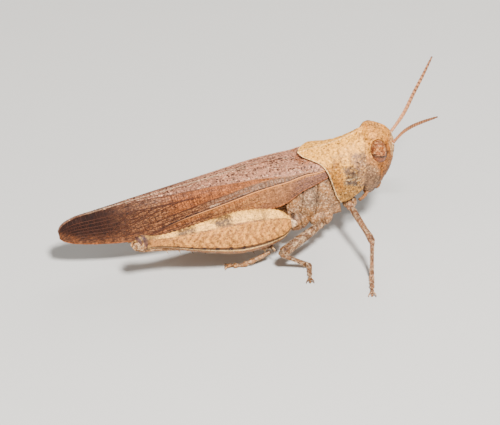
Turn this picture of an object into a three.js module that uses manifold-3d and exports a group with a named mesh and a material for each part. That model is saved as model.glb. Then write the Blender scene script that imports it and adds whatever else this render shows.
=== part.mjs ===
// A leaf-brown grasshopper standing on six feet with its wings closed, at life size, in millimetres.
// Body frame: x towards the head, y to the insect's left, z up, from the hind point of the pronotum.
// World frame: +X towards the head, +Y to its left, +Z up from the floor, under the middle of its box.
import * as THREE from "three";
import { mergeVertices } from "three/addons/utils/BufferGeometryUtils.js";
import Module from "manifold-3d";

const wasm = await Module();
wasm.setup();

// ---- Driving dimensions ----
const BACK_HEIGHT = 15.5; // from the floor to the hind point of the pronotum
const PITCH = THREE.MathUtils.degToRad(9.3); // the head end is raised by this much
const SEAM = 0.15; // left between two pieces that meet
const SHEET = 0.5; // thickness of the wings and of the pronotum's plate
const WING_ROOT = 2.4; // the wings start this far ahead of the pronotum's hind point
const WING_TIP = -36; // and end this far behind it
const THORAX_FRONT = 4.3; // where the wing-bearing thorax meets the neck
const THORAX_BACK = -3.4; // and where it meets the abdomen
const NECK_FRONT = 8.2; // the neck ends here, behind the head
const ABDOMEN_BACK = -24.6; // where the egg-laying prongs start
const FLOOR_GRIP = 0.3; // height of a foot's middle line over the floor
const FEMUR_LEAN = THREE.MathUtils.degToRad(15); // a hind thigh's upper edge leans in by this much
const EYE = { x: 11.4, y: 2.9, z: -1.5, length: 2.25, width: 2.1, height: 3.6 };

const COLOURS = {
  tan: 0xb08c5c, // pronotum and hind femora
  ochre: 0xa37d4e, // head
  grey: 0x8a7a68, // sides of the thorax, and the coxae
  bark: 0x5f4334, // closed wings
  smoke: 0x6b5a4c, // folded hind wings
  horn: 0x8f6f50, // shins and feet
  belly: 0x9a7f58, // abdomen
  eye: 0x7a4a2c,
};

// ---- Small tools ----
const vec = (x, y, z) => new THREE.Vector3(x, y, z);
const lerp = THREE.MathUtils.lerp;

// A smooth function through a few knots [x, value], level beyond its ends.
function smooth(...given) {
  const knots = given.toSorted((a, b) => a[0] - b[0]);
  const slope = knots.map((_, i) => {
    const [xa, va] = knots[Math.max(i - 1, 0)];
    const [xb, vb] = knots[Math.min(i + 1, knots.length - 1)];
    return (vb - va) / (xb - xa);
  });
  return (x) => {
    const i = knots.findIndex(([knot]) => knot > x);
    if (i === 0) return knots[0][1];
    if (i < 0) return knots[knots.length - 1][1];
    const [xa, va] = knots[i - 1];
    const [xb, vb] = knots[i];
    const h = xb - xa;
    const t = (x - xa) / h;
    const ease = t * t * (3 - 2 * t);
    const bend = h * t * (1 - t) * ((1 - t) * slope[i - 1] - t * slope[i]);
    return va + (vb - va) * ease + bend;
  };
}

// Evenly spaced numbers from a to b, both included.
const spread = (a, b, count) => Array.from({ length: count }, (_, i) => lerp(a, b, i / (count - 1)));

// Numbers from a to b that crowd towards both ends.
const crowd = (a, b, count) => spread(0, Math.PI, count).map((t) => lerp(a, b, (1 - Math.cos(t)) / 2));

// A closed body over rings of points that run anticlockwise about the way from ring to ring.
// Its two ends are fans round their middles, or strips where each ring is the section of a folded sheet.
function loft(rings, { sheet = false } = {}) {
  const count = rings[0].length;
  const positions = rings.flat().flatMap((p) => p.toArray());
  const faces = [];
  const face = (flip, a, b, c) => faces.push(...(flip ? [a, c, b] : [a, b, c]));
  for (let i = 0; i + 1 < rings.length; i++) {
    for (let j = 0; j < count; j++) {
      const [a, b] = [i * count + j, i * count + ((j + 1) % count)];
      face(false, a, b, a + count);
      face(false, b, b + count, a + count);
    }
  }
  for (const [ring, flip] of [[0, true], [rings.length - 1, false]]) {
    const first = ring * count;
    if (sheet) {
      for (let j = 0; j + 1 < count / 2; j++) {
        const [a, b, c, d] = [first + j, first + j + 1, first + count - 2 - j, first + count - 1 - j];
        face(flip, a, b, c);
        face(flip, a, c, d);
      }
    } else {
      const middle = rings[ring].reduce((sum, p) => sum.add(p), vec(0, 0, 0)).divideScalar(count);
      const centre = positions.length / 3;
      positions.push(...middle.toArray());
      for (let j = 0; j < count; j++) face(flip, centre, first + j, first + ((j + 1) % count));
    }
  }
  const made = new THREE.BufferGeometry();
  made.setAttribute("position", new THREE.Float32BufferAttribute(positions, 3));
  return made.setIndex(faces);
}

// A cross-section of the trunk at x, through half a profile of [y, z] from the back down to the belly.
function trunkRing(x, half, count) {
  const right = half.map(([y, z]) => vec(x, -y, z));
  const left = half.slice(1, -1).reverse().map(([y, z]) => vec(x, y, z));
  const curve = new THREE.CatmullRomCurve3([...right, ...left], true, "catmullrom", 0.5);
  return Array.from({ length: count }, (_, k) => curve.getPoint(k / count));
}

// A tapering body along points, with half heights along up and half widths across it.
function sweep(points, heights, widths, { up = vec(0, 0, 1), sides = 10, onFloor = false } = {}) {
  const rings = points.map((point, i) => {
    const before = points[Math.max(i - 1, 0)];
    const after = points[Math.min(i + 1, points.length - 1)];
    const along = after.clone().sub(before).normalize();
    const across = up.clone().cross(along).normalize();
    const over = along.clone().cross(across);
    return Array.from({ length: sides }, (_, j) => {
      const angle = (2 * Math.PI * (j + 0.5)) / sides;
      const made = point.clone();
      made.addScaledVector(across, widths[i] * Math.cos(angle));
      made.addScaledVector(over, heights[i] * Math.sin(angle));
      if (onFloor) made.z = Math.max(made.z, 0);
      return made;
    });
  });
  return loft(rings);
}

// A straight limb whose half height and half width follow functions of the share of its length.
function limb(from, to, height, width, { steps = 6, shares = spread(0, 1, steps + 1), ...how } = {}) {
  const points = shares.map((t) => from.clone().lerp(to, t));
  return sweep(points, shares.map(height), shares.map(width), how);
}

const ellipsoid = (centre, length, width, height, grown = 0, fineness = 10) =>
  new THREE.SphereGeometry(0.5, fineness + 4, fineness)
    .rotateX(Math.PI / 2)
    .scale(length + 2 * grown, width + 2 * grown, height + 2 * grown)
    .translate(centre.x, centre.y, centre.z);

// ---- Joining and cutting ----
function toSolid(geometry) {
  const bare = geometry.clone();
  bare.deleteAttribute("normal");
  bare.deleteAttribute("uv");
  const merged = mergeVertices(bare, 1e-4);
  return new wasm.Manifold(
    new wasm.Mesh({
      numProp: 3,
      vertProperties: merged.attributes.position.array,
      triVerts: Uint32Array.from(merged.index.array),
    }),
  );
}

function toGeometry(solid) {
  const mesh = solid.getMesh();
  const made = new THREE.BufferGeometry();
  made.setAttribute("position", new THREE.BufferAttribute(Float32Array.from(mesh.vertProperties), 3));
  return made.setIndex(new THREE.BufferAttribute(Uint32Array.from(mesh.triVerts), 1));
}

const combine = (how, first, ...others) =>
  toGeometry(others.reduce((solid, other) => solid[how](toSolid(other)), toSolid(first)));
const join = (...parts) => combine("add", ...parts);
const cut = (...parts) => combine("subtract", ...parts);

// The same piece on the insect's other side.
function mirror(geometry) {
  const made = geometry.clone().scale(1, -1, 1);
  const index = made.index.array;
  for (let i = 0; i < index.length; i += 3) [index[i + 1], index[i + 2]] = [index[i + 2], index[i + 1]];
  return made;
}

// ---- Head: lofted up from the mouth, deep and upright, blunt in front and flush with the pronotum ----
const CHIN = -9;
const VERTEX = 1.75;
const headFront = smooth(
  [CHIN, 10.35], [-8.1, 11.3], [-6.9, 12.2], [-5.7, 12.95], [-4.3, 13.6], [-3.1, 13.97],
  [-1.5, 14.05], [-0.4, 13.72], [0.6, 12.95], [1.25, 12], [VERTEX, 11.1],
);
const headBack = smooth(
  [CHIN, 8.8], [-8.1, 8.1], [-6.7, 8.1], [-5.4, 8.6], [-3.6, 9.1], [-1.2, 9.55], [1, 9.8],
  [VERTEX, 10.2],
);
const headWidth = smooth(
  [CHIN, 1.45], [-8.1, 2.35], [-6, 3.25], [-3.6, 3.55], [-1.2, 3.3], [0.2, 2.6], [1.2, 1.55],
  [VERTEX, 0.5],
);

function headSolid(grown = 0) {
  const sides = 20;
  const bend = (value, power) => Math.sign(value) * Math.abs(value) ** power;
  const rings = crowd(CHIN, VERTEX, 12).map((z) => {
    const [front, back] = [headFront(z) + grown, headBack(z) + SEAM - grown];
    const middle = lerp(back, front, 0.3);
    return Array.from({ length: sides }, (_, j) => {
      const angle = (2 * Math.PI * j) / sides;
      const ahead = Math.cos(angle) > 0;
      const reach = ahead ? front - middle : middle - back;
      const x = middle + reach * bend(Math.cos(angle), ahead ? 1 : 0.6);
      return vec(x, (headWidth(z) + grown) * bend(Math.sin(angle), ahead ? 1.1 : 0.4), z);
    });
  });
  return loft(rings);
}

const eyeSolid = (grown, fineness = 8) =>
  ellipsoid(EYE, EYE.length, EYE.width, EYE.height, grown, fineness);

// The upper lip hangs in front of the jaws.
const labrum = (grown) =>
  sweep(
    [vec(10.95, 0, -8.1 + grown), vec(10.65, 0, -8.7), vec(10.1, 0, -9.3 - grown)],
    [0.4 + grown, 0.4 + grown, 0.28 + grown],
    [1.25 + grown, 1.15 + grown, 0.75 + grown],
    { up: vec(1, 0, 0.6), sides: 10 },
  );

// A jaw's blunt lower end, beside and behind the lip.
const mandible = (grown) => ellipsoid(vec(9.3, 0.8, -8.95), 1.6, 1.2, 1, grown, 5);

// A jointed mouth feeler, from under the cheek.
const palp = sweep(
  [vec(8.9, 1.85, -8.3), vec(8.45, 2.1, -8.75), vec(7.95, 2.1, -9.2), vec(7.3, 2, -9.55)],
  [0.25, 0.28, 0.28, 0.25],
  [0.25, 0.28, 0.28, 0.25],
  { up: vec(0, 1, 0), sides: 6 },
);

// ---- Antennae: flattened blades, spread like a V ----
const ANTENNAE = {
  left: [
    [13.3, 1.15, -2.3], [14.39, 1.3, -1.4], [16.8, 3, -0.2], [18.9, 4.3, 1.8], [20.75, 5.4, 3.5],
    [22.84, 6.6, 5.6],
  ],
  right: [
    [13.3, -1.15, -2.3], [14.19, -1.9, -0.9], [15.2, -2.8, 0.6], [16.3, -4, 1.95], [17.7, -5.4, 3.2],
    [19.5, -7.2, 4.6],
  ],
};
const antennaBlade = smooth([0, 0.36], [0.12, 0.28], [0.3, 0.36], [0.7, 0.33], [1, 0.25]);
const antennaEdge = smooth([0, 0.3], [0.12, 0.26], [1, 0.25]);

function antenna(side) {
  const course = new THREE.CatmullRomCurve3(ANTENNAE[side].map((point) => vec(...point)));
  const shares = spread(0, 1, 11);
  const points = shares.map((t) => course.getPointAt(t));
  const up = vec(0.7, 0, -0.7);
  return sweep(points, shares.map(antennaEdge), shares.map(antennaBlade), { up, sides: 6 });
}

// ---- Sheets that wrap the trunk ----
// A plate between two depths under the surface at(u, v), over an even net of u rows and v columns.
function wrap(at, rows, columns, outer, inner) {
  const nudge = 0.01;
  const offset = (u, v, depth) => {
    const along = at(u + nudge, v).sub(at(u - nudge, v));
    const around = at(u, v + nudge).sub(at(u, v - nudge));
    return at(u, v).addScaledVector(along.cross(around).normalize(), depth);
  };
  const rings = rows.map((u) => [
    ...columns.map((v) => offset(u, v, -inner)),
    ...columns.toReversed().map((v) => offset(u, v, -outer)),
  ]);
  return loft(rings, { sheet: true });
}

// ---- Pronotum: a saddle plate, crested along its middle, with deep side lobes ----
// Its half profile at x, from the crest, v = 0, to the lower margin, v = 1.
const crest = smooth(
  [-0.5, -0.05], [0, 0], [1.6, 0.15], [3.9, 0.36], [5.6, 0.55], [7.6, 0.9], [9.7, 1.45],
);
const shoulderWidth = smooth([0, 2.95], [3, 3.1], [6, 2.9], [9.7, 2.7]);
const shoulderDrop = smooth([0, 0.95], [2, 0.9], [4, 1.3], [6, 1.9], [8, 2.2], [9.7, 2.2]);
const lobeWidth = smooth([0, 4.05], [4, 4.15], [7, 4.0], [9.7, 3.65]);
const lobeFoot = smooth(
  [3.6, -6.9], [4.0, -7.45], [4.6, -7.75], [5.7, -7.65], [7, -7.1], [8, -6.7], [9.7, -6.2],
);
const hindMargin = smooth(
  [0, 0], [0.16, 0.5], [0.3, 1.5], [0.42, 2.55], [0.56, 3.2], [0.75, 3.6], [0.92, 3.9], [1, 4.35],
);
const frontMargin = smooth([0, 9.7], [0.3, 9.6], [0.55, 9.3], [0.8, 8.7], [1, 7.9]);

function pronotumHalf(x, v) {
  const top = crest(x);
  const drop = shoulderDrop(x);
  const side = lobeWidth(x);
  const half = [
    vec(x, 0, top),
    vec(x, shoulderWidth(x) * 0.52, top - drop * 0.3),
    vec(x, shoulderWidth(x), top - drop),
    vec(x, lerp(shoulderWidth(x), side, 0.75), top - drop - 1.5),
    vec(x, side, lerp(top, lobeFoot(x), 0.72)),
    vec(x, side - 0.12, lobeFoot(x)),
  ];
  const curve = new THREE.CatmullRomCurve3(half, false, "centripetal");
  const past = Math.max(v - 1, 0) * curve.getLength();
  return curve.getPointAt(Math.min(v, 1)).add(vec(0, 0, -past));
}

// The whole plate: u runs from the hind margin to the front one, v from the right foot to the left.
function pronotumPlate(grown = 0) {
  const at = (u, v) => {
    const down = Math.abs(v);
    const made = pronotumHalf(lerp(hindMargin(down) - grown, frontMargin(down) + grown, u), down);
    made.y *= Math.sign(v);
    return made;
  };
  const reach = 1 + grown / 10;
  return wrap(at, spread(0, 1, 8), spread(-reach, reach, 17), -grown, SHEET + grown);
}

// ---- Thorax: the neck under the pronotum, and the deep part that carries wings and hind legs ----
const neckWidth = smooth([THORAX_FRONT, 2.9], [6, 2.8], [NECK_FRONT, 2.3]);

const prothorax = loft(
  spread(THORAX_FRONT + SEAM, NECK_FRONT, 4).map((x) => {
    const wide = neckWidth(x);
    const low = lerp(-9.9, -7.8, (x - THORAX_FRONT) / (NECK_FRONT - THORAX_FRONT));
    const half = [[0, -1.4], [wide * 0.75, -2.2], [wide, -4.6], [wide * 0.85, low + 1.2], [0, low]];
    return trunkRing(x, half, 16);
  }),
);

const thoraxSide = smooth(
  [THORAX_BACK, 3.3], [-1.8, 3.6], [0.5, 3.75], [2.6, 3.65], [3.4, 3.45], [THORAX_FRONT, 3.3],
);

const thorax = loft(
  spread(THORAX_BACK, THORAX_FRONT, 8).map((x) => {
    const side = thoraxSide(x);
    const flank = [[2.6, -3.6], [side - 0.15, -5.4], [side, -8.4], [2.8, -10.2]];
    return trunkRing(x, [[0, -1.9], [2, -2.4], ...flank, [0, -10.7]], 16);
  }),
);

// ---- Wings: a roof of two leathery forewings over two folded hind wings ----
const ridge = smooth(
  [WING_ROOT, -0.55], [0, -0.75], [-1.2, -0.4], [-2.6, 0.1], [-7, 0.38], [-12, 0.2], [-20, -0.05],
  [-30, -0.3], [-33, -0.45], [-34.6, -0.95], [-35.5, -1.6], [WING_TIP, -2.5],
);
const costa = smooth(
  [WING_ROOT, -2.9], [1, -3.4], [-0.9, -4.0], [-2.9, -5.1], [-4.6, -5.65], [-8, -5.9], [-15, -6.1],
  [-22, -6.1], [-27, -5.8], [-31, -5.2], [-34, -4.5], [-35.4, -3.85], [WING_TIP, -3.2],
);
const roofWidth = smooth(
  [WING_ROOT, 2.3], [0, 2.6], [-2.6, 2.85], [-6, 2.7], [-14, 1.8], [-21, 1.25], [-30, 0.85],
  [WING_TIP, 0.6],
);
const roofDrop = smooth(
  [WING_ROOT, 1.1], [1.5, 0.8], [0.2, 0.15], [-1.2, 0.6], [-2.6, 1.15], [-6, 1.25], [-14, 0.85],
  [-21, 0.6], [-30, 0.4], [WING_TIP, 0.1],
);
const wingFlare = smooth(
  [WING_ROOT, 3.2], [0, 3.9], [-3, 4.05], [-6, 3.8], [-10, 3.65], [-14, 3.35], [-22, 2.8], [-30, 1.9],
  [WING_TIP, 0.95],
);

// A point of the left forewing's outer face: v runs from the ridge, 0, to the lower edge, 1.
function wingPoint(x, v) {
  const [top, low] = [ridge(x), costa(x)];
  const shoulder = vec(x, roofWidth(x), Math.max(top - roofDrop(x), lerp(top, low, 0.4)));
  const margin = vec(x, wingFlare(x), low);
  const flank = shoulder.clone().lerp(margin, 0.5).add(vec(0, 0.2, 0));
  const curve = new THREE.CatmullRomCurve3([vec(x, 0.1, top), shoulder, flank, margin]);
  return curve.getPoint(THREE.MathUtils.clamp(v, 0, 1));
}

const otherSide = new THREE.BoxGeometry(80, 4 + SEAM, 20).translate(0, -2, 0);
const tegmen = cut(
  wrap(wingPoint, crowd(WING_TIP, WING_ROOT, 16), spread(0, 1, 7), 0, SHEET),
  otherSide,
  pronotumPlate(SEAM),
);
const hindWing = cut(
  wrap(wingPoint, spread(-32, -3.8, 9), spread(0.12, 0.55, 4), SHEET + SEAM, 2 * SHEET + SEAM),
  otherSide,
);

// ---- Abdomen: a tapering tail end, with its two feelers and the egg-laying prongs ----
const abdomenWidth = smooth(
  [ABDOMEN_BACK, 0.9], [-23.4, 1.45], [-20, 2.05], [-14, 2.6], [-8, 2.75], [THORAX_BACK, 2.5],
);
const abdomenTop = smooth(
  [ABDOMEN_BACK, -5.9], [-23.4, -5.2], [-20, -4.3], [-14, -3.6], [-8, -3.2], [THORAX_BACK, -3.2],
);
const abdomenBottom = smooth(
  [ABDOMEN_BACK, -7.5], [-23.4, -7.9], [-20, -8.3], [-14, -9.1], [-8, -9.6], [THORAX_BACK, -9.5],
);

const abdomen = loft(
  spread(ABDOMEN_BACK, THORAX_BACK - SEAM, 11).map((x) => {
    const [top, low, wide] = [abdomenTop(x), abdomenBottom(x), abdomenWidth(x)];
    const half = [
      [0, top], [wide * 0.8, lerp(low, top, 0.8)], [wide, lerp(low, top, 0.5)],
      [wide * 0.7, lerp(low, top, 0.12)], [0, low],
    ];
    return trunkRing(x, half, 16);
  }),
);

// An upper and a lower pair of short, blunt prongs on a stump.
function ovipositorPiece() {
  const taper = (t) => lerp(0.42, 0.16, t);
  const spreadOut = (t) => lerp(0.6, 0.4, t);
  const prongs = [0.75, -0.7].map((lift) => {
    const [root, tip] = [vec(-24.35, 0, -6.75 + lift * 0.3), vec(-26.7, 0, -6.75 + lift)];
    return limb(root, tip, taper, spreadOut, { steps: 2, sides: 6 });
  });
  const stump = ellipsoid(vec(-25.0, 0, -6.7), 0.9, 1.4, 1.5, 0, 4);
  const ahead = new THREE.BoxGeometry(6, 6, 6).translate(ABDOMEN_BACK - SEAM + 3, 0, -6.7);
  return cut(join(stump, ...prongs), ahead);
}

const cercusTaper = (t) => lerp(0.32, 0.22, t);
const [cercusRoot, cercusTip] = [vec(-23.7, 1.5, -6.1), vec(-25.3, 1.6, -6.0)];
const cercus = limb(cercusRoot, cercusTip, cercusTaper, cercusTaper, { steps: 2, sides: 6 });

// ---- Legs ----
// From the body frame to the floor frame, which stands under the pronotum's hind point.
const tilted = (x, y, z) => vec(x, y, z).applyAxisAngle(vec(0, 1, 0), -PITCH).add(vec(0, 0, BACK_HEIGHT));
const onFloor = (x, y, z = FLOOR_GRIP) => vec(x, y, z);

// Hips, in the body frame, on the insect's left.
const HIPS = {
  fore: { x: 5.8, y: 2.7, z: -8.9, length: 2.1, width: 1.8, height: 2.1 },
  mid: { x: 1.2, y: 3.3, z: -9.9, length: 3.5, width: 2.1, height: 2.7 },
  hind: { x: -2.3, y: 3.3, z: -9.3, length: 3.7, width: 2.4, height: 2.9 },
};
const coxa = (pair, grown = 0) => {
  const { x, y, z, length, width, height } = HIPS[pair];
  return ellipsoid(vec(x, y, z), length, width, height, grown, 6);
};
const bothSides = (geometry) => [geometry, mirror(geometry)];
const allHips = Object.keys(HIPS).flatMap((pair) => bothSides(coxa(pair, SEAM)));

// Where each walking leg starts, in the body frame, then its knee, ankle and toe over the floor.
const STANCE = {
  fore_right: { hip: [5.7, -3.75, -9.1], knee: [8.4, -11, 6.2], ankle: [8.3, -11.5], toe: [7.2, -16.1] },
  fore_left: { hip: [5.7, 3.75, -9.1], knee: [10.3, 10.2, 6.3], ankle: [11.1, 10.9], toe: [12.0, 15.9] },
  mid_right: { hip: [0.6, -4.7, -10.1], knee: [-4.2, -7.7, 3.6], ankle: [0.2, -6.8], toe: [-0.6, -10.9] },
  mid_left: { hip: [0.6, 4.7, -10.1], knee: [-3.6, 8.9, 4.4], ankle: [-0.7, 9.5], toe: [-2.7, 13.4] },
};
const FEMUR_HEIGHT = {
  fore: smooth([0, 0.4], [0.15, 0.5], [0.75, 0.45], [0.92, 0.56], [1, 0.4]),
  mid: smooth([0, 0.5], [0.25, 0.66], [0.8, 0.78], [0.93, 0.8], [1, 0.5]),
};
const FEMUR_FLATNESS = 0.8;
const shinRadius = smooth([0, 0.34], [0.08, 0.42], [0.5, 0.36], [0.94, 0.42], [1, 0.32]);

// Two hooked claws at the end of a foot.
function claws(ankle, toe) {
  const along = toe.clone().sub(ankle).setZ(0).normalize();
  const across = vec(-along.y, along.x, 0);
  return [-1, 1].map((side) => {
    const hook = [[0.82, 0.1, FLOOR_GRIP], [0.93, 0.32, 0.5], [1, 0.5, 0.1]];
    const course = hook.map(([share, out, z]) =>
      ankle.clone().lerp(toe, share).addScaledVector(across, out * side).setZ(z),
    );
    const radii = [0.22, 0.2, 0.1];
    return sweep(course, radii, radii, { sides: 4, onFloor: true });
  });
}

// A foot of three padded joints, flat underneath, which a hind leg reaches by a slanting first joint.
function foot(ankle, toe, heel) {
  const pads = [[0, 0.36], [0.3, 0.42], [0.45, 0.34], [0.65, 0.4], [1, 0.34]];
  const points = pads.map(([share]) => ankle.clone().lerp(toe, share * 0.86));
  const radii = pads.map(([, radius]) => radius);
  if (heel) {
    points.unshift(heel, heel.clone().lerp(ankle, 0.6));
    radii.unshift(0.34, 0.38);
  }
  return join(sweep(points, radii, radii, { sides: 8, onFloor: true }), ...claws(ankle, toe));
}

function walkingLeg(name) {
  const { hip, knee, ankle, toe } = STANCE[name];
  const height = FEMUR_HEIGHT[name.split("_")[0]];
  const [start, bend, heel] = [tilted(...hip), onFloor(...knee), onFloor(...ankle)];
  const thigh = bend.clone().sub(start).normalize();
  const shin = heel.clone().sub(bend).normalize();
  const femur = (grown) => {
    const width = (t) => height(t) * FEMUR_FLATNESS + grown;
    const end = bend.clone().addScaledVector(thigh, grown);
    return limb(start, end, (t) => height(t) + grown, width, { steps: 6, sides: 8 });
  };
  const shinTop = bend.clone().addScaledVector(shin, 0.25);
  const shinEnd = heel.clone().addScaledVector(shin, -0.62);
  return {
    femur: femur(0),
    tibia: cut(limb(shinTop, shinEnd, shinRadius, shinRadius, { steps: 4, sides: 8 }), femur(SEAM)),
    tarsus: foot(heel, onFloor(...toe)),
  };
}

// ---- Hind legs: thick thighs folded along the body, with spiny shins tucked under them ----
const FEMUR_SAG = -0.5; // a thigh's middle line bows down by this much
const HIND = {
  right: {
    hip: [-3.5, -5.1, -8.0], knee: [-26.1, -7.0, -2.9],
    shinTop: [-25.6, -6.9, -4.1], ankle: [-6.8, -5.0, -11.3], sole: [-8.4, -4.6], toe: [-11.8, -4.4],
  },
  left: {
    hip: [-3.5, 5.1, -8.0], knee: [-26.2, 6.1, -4.7],
    shinTop: [-25.6, 6.0, -5.9], ankle: [-6.6, 5.2, -11.5], sole: [-8.1, 5.3], toe: [-11.4, 5.7],
  },
};
const thighHeight = smooth(
  [0, 1.0], [0.05, 2.0], [0.1, 2.45], [0.18, 2.85], [0.26, 3.05], [0.34, 3.05], [0.48, 2.55],
  [0.62, 1.9], [0.74, 1.25], [0.84, 0.88], [0.91, 1.05], [0.96, 1.15], [1, 0.75],
);
const thighWidth = (t) => thighHeight(t) * lerp(0.48, 0.62, t);
const shinGirth = smooth([0, 0.45], [0.06, 0.5], [0.4, 0.4], [1, 0.46]);
const hindShin = (grown) => (t) => shinGirth(t) + grown;

function hindLeg(side) {
  const { hip, knee, shinTop, ankle, sole, toe } = HIND[side];
  const [thighFrom, thighTo] = [tilted(...hip), tilted(...knee)];
  const [shinFrom, shinTo] = [tilted(...shinTop), tilted(...ankle)];
  const lean = side === "left" ? FEMUR_LEAN : -FEMUR_LEAN;
  const up = vec(0, -Math.sin(lean), Math.cos(lean));
  const shares = [0, 0.03, 0.08, 0.15, 0.24, 0.34, 0.45, 0.57, 0.69, 0.79, 0.86, 0.92, 0.97, 1];
  const sag = (t) => 4 * t * (1 - t) * FEMUR_SAG;
  const points = shares.map((t) => thighFrom.clone().lerp(thighTo, t).addScaledVector(up, sag(t)));
  const thigh = sweep(points, shares.map(thighHeight), shares.map(thighWidth), { up, sides: 12 });
  const bedFrom = shinFrom.clone().lerp(shinTo, -0.03);
  const bedTo = shinTo.clone().lerp(shinFrom, -0.1);
  const bed = limb(bedFrom, bedTo, hindShin(SEAM), hindShin(SEAM), { steps: 2, sides: 6 });
  const shin = limb(shinFrom, shinTo, hindShin(0), hindShin(0), { steps: 5, sides: 8 });
  const thin = (t) => lerp(0.2, 0.05, t);
  const spines = spread(0.3, 0.96, 5).flatMap((t) =>
    [-1, 1].map((way) => {
      const root = shinFrom.clone().lerp(shinTo, t);
      const tip = root.clone().add(vec(0.35, 0.42 * way, -0.85));
      return limb(root, tip, thin, thin, { steps: 1, sides: 3 });
    }),
  );
  const heel = shinTo.clone().add(vec(-0.35, 0, -0.95));
  return {
    femur: cut(thigh, bed),
    tibia: join(shin, ...spines),
    tarsus: foot(onFloor(...sole), onFloor(...toe), heel),
  };
}

// ---- Assembly ----
const insect = new THREE.Group();
const trunk = new THREE.Group();
trunk.position.z = BACK_HEIGHT;
trunk.rotation.y = -PITCH;
insect.add(trunk);

function place(parent, name, geometry, colour, roughness = 0.75) {
  const finish = new THREE.MeshStandardMaterial({ color: COLOURS[colour], roughness, metalness: 0 });
  const mesh = new THREE.Mesh(geometry, finish);
  mesh.name = name;
  parent.add(mesh);
}

function placePair(name, left, colour, roughness) {
  place(trunk, `${name}_left`, left, colour, roughness);
  place(trunk, `${name}_right`, mirror(left), colour, roughness);
}

const mouth = [labrum(SEAM), ...bothSides(mandible(SEAM))];
place(trunk, "head", cut(headSolid(), ...bothSides(eyeSolid(SEAM, 7)), ...mouth), "ochre");
placePair("eye", eyeSolid(0), "eye", 0.25);
for (const side of Object.keys(ANTENNAE)) {
  place(trunk, `antenna_${side}`, cut(antenna(side), headSolid(SEAM)), "horn");
}
place(trunk, "labrum", labrum(0), "ochre");
placePair("mandible", cut(mandible(0), labrum(SEAM)), "horn", 0.4);
placePair("palp", cut(palp, headSolid(SEAM)), "horn");
place(trunk, "pronotum", pronotumPlate(), "tan");
place(trunk, "prothorax", cut(prothorax, headSolid(SEAM), ...allHips), "grey");
place(trunk, "thorax", cut(thorax, pronotumPlate(SEAM), ...allHips), "grey");
place(trunk, "abdomen", abdomen, "belly");
place(trunk, "ovipositor", ovipositorPiece(), "horn");
placePair("cercus", cercus, "horn");
placePair("tegmen", tegmen, "bark");
placePair("hind_wing", hindWing, "smoke");
for (const pair of Object.keys(HIPS)) placePair(`coxa_${pair}`, coxa(pair), "grey");

for (const name of Object.keys(STANCE)) {
  for (const [piece, geometry] of Object.entries(walkingLeg(name))) {
    place(insect, `${piece}_${name}`, geometry, "horn");
  }
}
for (const side of Object.keys(HIND)) {
  for (const [piece, geometry] of Object.entries(hindLeg(side))) {
    place(insect, `${piece}_hind_${side}`, geometry, piece === "femur" ? "tan" : "horn");
  }
}

// The origin comes to the middle of the box, on the floor.
const middle = new THREE.Box3().setFromObject(insect, true).getCenter(vec(0, 0, 0));
insect.position.set(-middle.x, -middle.y, 0);

export default insect;
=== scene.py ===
"""Dresses the solid frame of a leaf-brown grasshopper at life size: plates, wings, legs, bristles.

Sizes inside the classes are millimetres. The body frame has x towards the head, y to the insect's
left and z up, from the hind point of the saddle plate behind the head. The floor frame is level and
stands under that point. A Stance turns either into the frame's own metres.
"""

from __future__ import annotations

import logging
import math
from collections.abc import Callable, Iterable, Mapping, Sequence
from dataclasses import dataclass, field
from enum import Enum

import bpy
import numpy as np
from bpy.types import Material, Node, NodeSocket, NodeTree, Object
from mathutils import Matrix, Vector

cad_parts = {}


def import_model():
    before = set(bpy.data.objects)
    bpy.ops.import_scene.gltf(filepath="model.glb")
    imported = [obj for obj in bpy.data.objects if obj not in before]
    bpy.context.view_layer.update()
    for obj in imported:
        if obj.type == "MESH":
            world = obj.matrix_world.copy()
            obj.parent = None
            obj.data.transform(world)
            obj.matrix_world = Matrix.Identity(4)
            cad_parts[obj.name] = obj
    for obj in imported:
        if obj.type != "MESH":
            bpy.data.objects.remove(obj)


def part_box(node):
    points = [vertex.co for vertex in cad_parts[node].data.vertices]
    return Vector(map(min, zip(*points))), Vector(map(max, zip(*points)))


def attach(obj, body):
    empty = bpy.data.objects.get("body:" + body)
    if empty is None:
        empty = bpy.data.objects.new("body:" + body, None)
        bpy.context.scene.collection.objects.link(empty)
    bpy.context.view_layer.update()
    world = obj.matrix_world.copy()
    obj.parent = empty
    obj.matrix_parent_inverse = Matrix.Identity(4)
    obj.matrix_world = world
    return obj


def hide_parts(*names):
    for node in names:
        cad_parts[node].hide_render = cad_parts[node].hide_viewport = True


Array = np.ndarray
Profile = Callable[[Array], Array]
Colour = tuple[float, float, float, float]

LOG = logging.getLogger("grasshopper")
MM = 0.001
TINY = 1e-9
ROOT = "root"
PITCH = math.radians(9.3)
BACK_HEIGHT = 15.5
NECK_JOIN = 4.3
WAIST = -3.4
TAIL = -24.6
RIB_COUNT = 22.0
RIB_SLANT = 1.6
MAP_EDGE = 0.05
MAP_SPAN = 0.9
SPECULAR = 0.25


class Side(Enum):
    """A side of the insect, with the sign of its y."""

    LEFT = 1
    RIGHT = -1

    @property
    def word(self) -> str:
        """The side's name as pieces use it."""
        return self.name.lower()


class Pair(Enum):
    """A pair of legs."""

    FORE = "fore"
    MID = "mid"
    HIND = "hind"


class Cap(Enum):
    """How the two ends of a grid of rings are closed."""

    FAN = "fan"
    STRIP = "strip"


# ---------------------------------------------------------------- Curves and surfaces


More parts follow.
